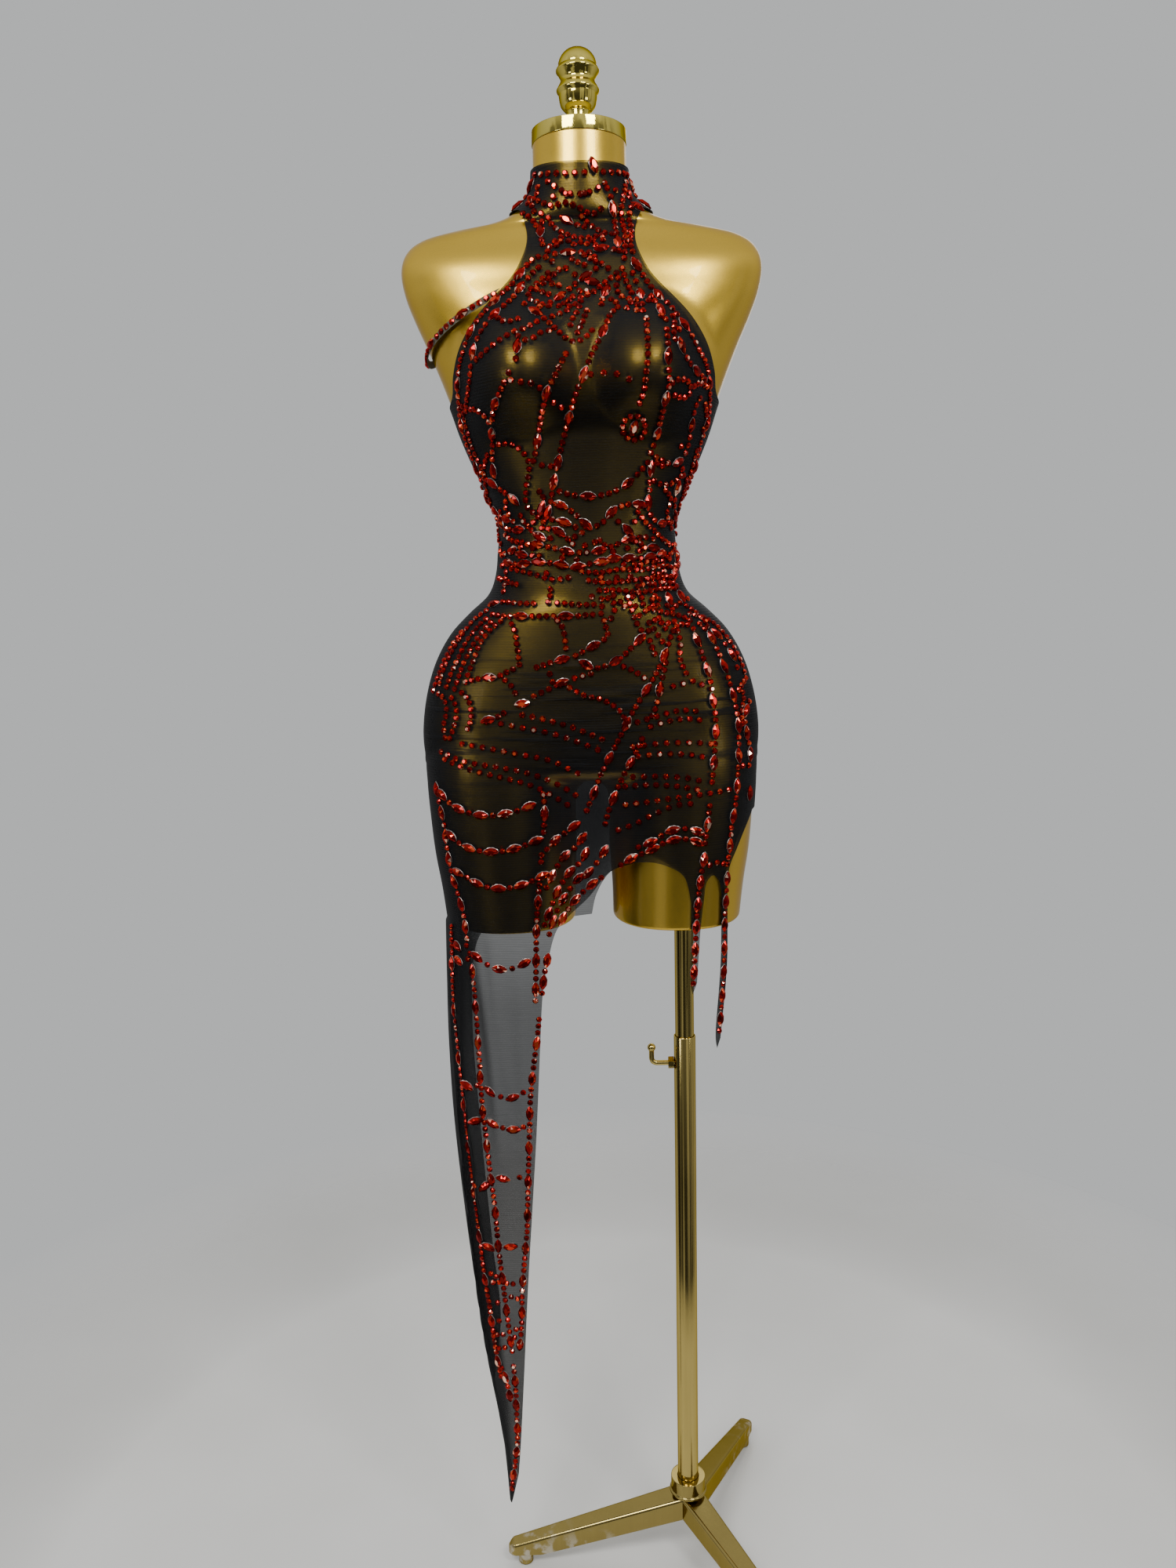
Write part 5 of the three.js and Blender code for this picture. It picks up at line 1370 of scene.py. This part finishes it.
class STAGEDRESS_OT_strap(bpy.types.Operator):
    """Add the narrow strap round the outside of one shoulder"""

    bl_idname = "stagedress.strap"
    bl_label = "Arm strap"

    def execute(self, context):
        rows, sides, low, high = (STRAP[word] for word in ("rows", "sides", "low", "high"))
        where, out, across = strap_line(np.linspace(-1, 1, rows) * STRAP["reach"])
        turn = round_angles(sides)
        wide = STRAP["width"] / 2 * signed_power(np.cos(turn), 0.35)
        deep = (low + high) / 2 + (high - low) / 2 * signed_power(np.sin(turn), 0.7)
        section = where[:, None] + wide[None, :, None] * across[:, None] + deep[None, :, None] * out[:, None]
        strap = lofted("arm_strap_cloth", section)
        along = np.arange(rows) * STRAP["row_gap"]
        flat = np.stack([np.tile(wide, rows), np.repeat(along, sides)], axis=1)
        cloth_map(strap, np.concatenate([flat, [(0, along[0]), (0, along[-1])]]))
        for cut in (FRONT, BACK):
            combine(strap, pattern(cut, 0, (-PART_GAP, PART_GAP)), "DIFFERENCE", 50)
        finish_piece(strap, bpy.data.materials["sheer_mesh"], "form", "sheer_mesh", "dress_arm_strap")
        return {"FINISHED"}


class STAGEDRESS_OT_crystals(bpy.types.Operator):
    bl_idname = "stagedress.crystals"
    bl_label = "Crystals"

    def execute(self, context):
        settings = context.scene.stage_dress
        glass, plate = red_crystal(settings.crystals), highlight_setting()
        shapes, painted_light_rim = self.shapes(settings.crystals.size)
        draw = np.random.default_rng(settings.crystals.seed)
        for word, cut, stones in (
            ("dress_front", FRONT, self.panel_stones(settings.dress.crease_height)),
            ("arm_strap", STRAP, self.strap_stones()),
        ):
            kinds, here, ahead, out = stones
            for kind, stone in STONES.items():
                chosen = kinds == kind
                axes = stone_axes(ahead[chosen], out[chosen], draw, stone["turn"])
                base = here[chosen] + axes[:, 2] * stone["base"]
                placed = set_stones(f"{word}_{stone['label']}_stones", shapes[kind], base, axes, draw)
                finish_piece(placed, glass, "form")
            # The settings lie under the pointed stones, the last kind, a little up the cloth: a painted highlight
            # crescent.
            normal = axes[:, 2]
            above = (np.array([0, 0, 1]) - normal * normal[:, 2:]) * HIGHLIGHT_SETTING["above"]
            placed = set_stones(f"{word}_settings", painted_light_rim, here[chosen] + normal * HIGHLIGHT_SETTING["base"] + above, axes, draw)
            finish_piece(placed, plate, "form")
        return {"FINISHED"}

    def shapes(self, size):
        """The round and the pointed stone and the pointed one's setting, which shows as a painted highlight."""
        disc, navette = STONES["r"], STONES["n"]
        turn = round_angles(8)
        circle = np.column_stack([np.cos(turn), np.sin(turn)]) * disc["long"] / 2 * size
        long, wide = navette["long"] * size, navette["wide"] * size
        painted_light_rim = cut_stone(oval(long + HIGHLIGHT_SETTING["longer"], wide + HIGHLIGHT_SETTING["wider"]), HIGHLIGHT_SETTING["high"], 0.97)
        return {"r": cut_stone(circle, disc["high"] * size, 0.58),
                "n": cut_stone(oval(long, wide), navette["high"] * size, 0.5)}, painted_light_rim

    def panel_stones(self, strength):
        """The stones of the front panel, without those that would cross an earlier one or the panel's edge."""
        face = cloth_face(panel_sheet(FRONT), FRONT, strength, CLOTH_OUT)
        edge = outline(FRONT)
        taken = np.zeros((1, 4))
        kept = []
        for letters, gap, line in strands():
            kinds, here, ahead, out = threaded(*on_cloth(line, face), letters, gap)
            discs = np.array([STONES[kind]["discs"] for kind in kinds])
            spots, reach = here[:, None] + ahead[:, None] * discs[..., :1], discs[..., 1]
            apart = np.linalg.norm(spots[:, :, None] - taken[:, :3], axis=-1) - reach[..., None] - taken[:, 3]
            free = (apart > -OVERLAP).all(axis=(1, 2)) & inside(here[:, [0, 2]], edge, EDGE_MARGIN)
            taken = np.concatenate([taken, np.dstack([spots, reach])[free].reshape(-1, 4)])
            kept.append((kinds[free], here[free], ahead[free], out[free]))
        return [np.concatenate(column) for column in zip(*kept)]

    def strap_stones(self):
        """One strand along the strap's middle line, short of its ends."""
        trimmed = STRAP["trimmed"]
        where, out, _ = strap_line(np.linspace(-trimmed, trimmed, STRAP["rows"]) * STRAP["reach"])
        return threaded(where + out * STRAP["high"], out, *STRAP["strand"])


class STAGEDRESS_OT_cap(bpy.types.Operator):
    """Add the polished disc on the neck and the turned finial"""

    bl_idname = "stagedress.cap"
    bl_label = "Cap and finial"

    def execute(self, context):
        plate = gold_plate(context.scene.stage_dress.stand)
        low = NECK_TOP + PART_GAP
        top = low + CAP["height"]
        cap = turned("neck_cap_disc", eased(post(CAP["radius"], low, top), 0.9), sides=160)
        finish_piece(cap, plate, "form", "gold_plate", "neck_cap")
        turn = np.linspace(0, np.pi / 2, 16)[1:]
        dome = np.stack([DOME["radius"] * np.cos(turn), DOME["foot"] + DOME["height"] * np.sin(turn)], axis=1)
        dome[-1, 0] = 0
        profile = np.concatenate([eased(STEM, 0.8), curve(BULB, 6)[1:], curve(RIBS, 6)[1:], dome])
        finial = turned("finial_turned", profile + (0, top + PART_GAP), smooth=28)
        finish_piece(finial, plate, "form", "gold_plate", "finial")
        return {"FINISHED"}


class STAGEDRESS_OT_pole(bpy.types.Operator):
    """Add the sliding pole, its outer tube, the lock nut and the lock lever"""

    bl_idname = "stagedress.pole"
    bl_label = "Pole and lock"

    def execute(self, context):
        brass = stand_brass(context.scene.stage_dress.stand)
        mast = eased(post(MAST["radius"], MAST["bottom"], MAST["top"]), 0.8)
        stand_piece(turned("inner_pole", mast, x=POLE_X), brass, "mast", "mast")
        stand_piece(self.tube(), brass, "outer_tube")
        stand_piece(self.nut(), brass, "lock_nut")
        stand_piece(self.lever(), brass, "lock_lever", "lock")
        return {"FINISHED"}

    def tube(self):
        """The outer tube, a closed loop of rings with an eased upper rim, with the hole for the lever's rod."""
        bore, radius, bottom, top = (TUBE[word] for word in ("bore", "radius", "bottom", "top"))
        loop = [(bore, bottom), (radius, bottom), (radius, top - 0.5), (radius - 0.35, top), (bore + 0.35, top),
                (bore, top - 0.5)]
        rings = circles(loop, POLE_X, 0, 96)
        quads = grid_quads(len(rings) + 1, rings.shape[1], closed=True) % rings[..., 0].size
        tube = build("outer_pole", rings, [quads])
        combine(tube, self.hole(), "DIFFERENCE", 35)
        return tube

    def hole(self):
        """The round hole that the lever's rod passes through, along X."""
        a = round_angles(32)
        ring = np.stack([0 * a, LOCK["hole"] * np.cos(a), LOCK["z"] + LOCK["hole"] * np.sin(a)], axis=1)
        return lofted("hole", [ring + (POLE_X, 0, 0), ring + (POLE_X - 40, 0, 0)])

    def nut(self):
        """A hexagon nut along X with chamfered corners: its radius is the flats' / cos a, up to each row's most."""
        a = round_angles(72)
        hexagon = NUT_FLAT / np.cos((a + np.pi / 6) % (np.pi / 3) - np.pi / 6)
        out, most = np.array(NUT)[..., None].swapaxes(0, 1)
        r = np.minimum(hexagon, most)
        face = POLE_X - TUBE["radius"] - PART_GAP
        rings = np.stack([face - out + 0 * a, r * np.cos(a), LOCK["z"] + r * np.sin(a)], axis=-1)
        nut = lofted("lock_nut_hex", rings)
        combine(nut, self.hole(), "DIFFERENCE", 25)
        return nut

    def lever(self):
        """The lever's rod, swept along its bend, with the ball at its end."""
        tip, elbow, bend, z = POLE_X - MAST["radius"] - PART_GAP, LOCK["elbow"], LOCK["bend"], LOCK["z"]
        t = np.linspace(0, 1, 14)[:, None]
        bow = (1 - t) ** 2 * (elbow + bend, z) + 2 * t * (1 - t) * np.array((elbow, z)) + t**2 * (elbow, z + bend)
        top = z + LOCK["rise"]
        path = np.concatenate([[(tip, z)], bow, [(elbow, top)]])
        ahead = unit(np.gradient(path, axis=0))
        a = round_angles(24)
        wide, deep = LOCK["rod"] * np.cos(a), LOCK["rod"] * np.sin(a)
        x, z = path[:, :1] - ahead[:, 1:] * wide, path[:, 1:] + ahead[:, :1] * wide
        lever = lofted("lock_lever_rod", np.stack([x, 0 * x + deep, z], axis=-1))
        turn = np.linspace(-np.pi / 2, np.pi / 2, 17)
        ball = np.stack([np.cos(turn), np.sin(turn)], axis=1) * LOCK["ball"] + (0, top + LOCK["ball_above"])
        ball[[0, -1], 0] = 0
        combine(lever, turned("ball", ball, x=elbow, sides=32), "UNION", 40)
        return lever


class STAGEDRESS_OT_base(bpy.types.Operator):
    """Add the hub, the three legs and their feet"""

    bl_idname = "stagedress.base"
    bl_label = "Hub, legs and feet"

    def execute(self, context):
        brass = stand_brass(context.scene.stage_dress.stand, "leg_brass", worn=True)
        stand_piece(turned("hub_turned", eased(HUB, 0.7), x=POLE_X, sides=112), brass, "hub")
        for i, letter in enumerate("abc"):
            angle = math.radians(LEG["first"] + 120 * i)
            stand_piece(self.leg(letter, angle), brass, f"leg_{letter}")
            x, y = POLE_X + FOOT["out"] * math.cos(angle), FOOT["out"] * math.sin(angle)
            pad = eased(post(FOOT["radius"], 0, FOOT["height"]), 1.5)
            stand_piece(turned(f"foot_pad_{letter}", pad, x=x, y=y, sides=48), brass, f"foot_{letter}")
        return {"FINISHED"}

    def leg(self, letter, angle):
        """A tapered leg: a level-sided section with rounded upper edges, swept out and rounded off at its end.

        It is trimmed to its third of the circle and to clear the hub.
        """
        root, tip, radius = LEG["root"], LEG["tip"], LEG["tip"] / 2
        end = LEG["reach"] - radius
        x = np.concatenate([np.linspace(0, end, 60), end + radius * np.sin(np.linspace(0, np.pi / 2, 12)[1:])])
        past, share = np.clip((x - end) / radius, 0, 1), np.clip(x / end, 0, 1)
        half = (root + (tip - root) * share) / 2 * np.sqrt(np.maximum(0.04, 1 - past**2))
        low = LEG["root_base"] + (LEG["tip_base"] - LEG["root_base"]) * np.minimum(1, x / LEG["level_from"])
        high = LEG["root_top"] + (LEG["tip_top"] - LEG["root_top"]) * share - LEG["droop"] * past**2
        edge = np.minimum(LEG["edge"], half * 0.8)[:, None]
        turn = np.linspace(0, np.pi / 2, 9)
        right, rise = half[:, None] - edge + edge * np.cos(turn), high[:, None] - edge + edge * np.sin(turn)
        y = np.concatenate([np.stack([-half, half], axis=1), right, -right[:, ::-1]], axis=1)
        z = np.concatenate([np.stack([low, low], axis=1), rise, rise[:, ::-1]], axis=1)
        c, s = math.cos(angle), math.sin(angle)
        far = x[:, None]
        leg = lofted(f"leg_bar_{letter}", np.stack([POLE_X + far * c - y * s, far * s + y * c, z], axis=-1))
        wide = 80 * math.sqrt(3)
        corners = ((PART_GAP, 0), (80 + PART_GAP, -wide), (400, -200), (400, 200), (80 + PART_GAP, wide))
        third = [[(POLE_X + a * c - b * s, a * s + b * c, h) for a, b in corners] for h in (0, 200)]
        combine(leg, lofted("third", third), "INTERSECT", 40)
        combine(leg, turned("stem", post(HUB_STEM + PART_GAP, 0, 200), x=POLE_X), "DIFFERENCE", 40)
        return leg


class STAGEDRESS_PT_parts(bpy.types.Panel):
    """Lists the pieces of the dress, its form and its stand"""

    bl_label = "Stage dress"
    bl_idname = "STAGEDRESS_PT_parts"
    bl_space_type = "VIEW_3D"
    bl_region_type = "UI"
    bl_category = "Stage dress"

    def draw(self, context):
        for operator in OPERATORS:
            self.layout.operator(operator.bl_idname)
        settings = context.scene.stage_dress
        for group in (settings.dress, settings.crystals, settings.stand, settings.stage):
            box = self.layout.box()
            for name in group.__annotations__:
                box.prop(group, name)


OPERATORS = (
    STAGEDRESS_OT_stage, STAGEDRESS_OT_form, STAGEDRESS_OT_panels, STAGEDRESS_OT_strap, STAGEDRESS_OT_crystals,
    STAGEDRESS_OT_cap, STAGEDRESS_OT_pole, STAGEDRESS_OT_base,
)
CLASSES = (DressSettings, CrystalSettings, StandSettings, StageSettings, StageDress, *OPERATORS, STAGEDRESS_PT_parts)


def register():
    """Registers the classes and their settings."""
    for cls in CLASSES:
        bpy.utils.register_class(cls)
    bpy.types.Scene.stage_dress = bpy.props.PointerProperty(type=StageDress)


def unregister():
    """Removes the settings and the classes."""
    del bpy.types.Scene.stage_dress
    for cls in reversed(CLASSES):
        bpy.utils.unregister_class(cls)


def main():
    """Registers the classes and builds everything in order."""
    register()
    for operator in OPERATORS:
        group, name = operator.bl_idname.split(".")
        getattr(getattr(bpy.ops, group), name)()


if __name__ == "__main__":
    main()
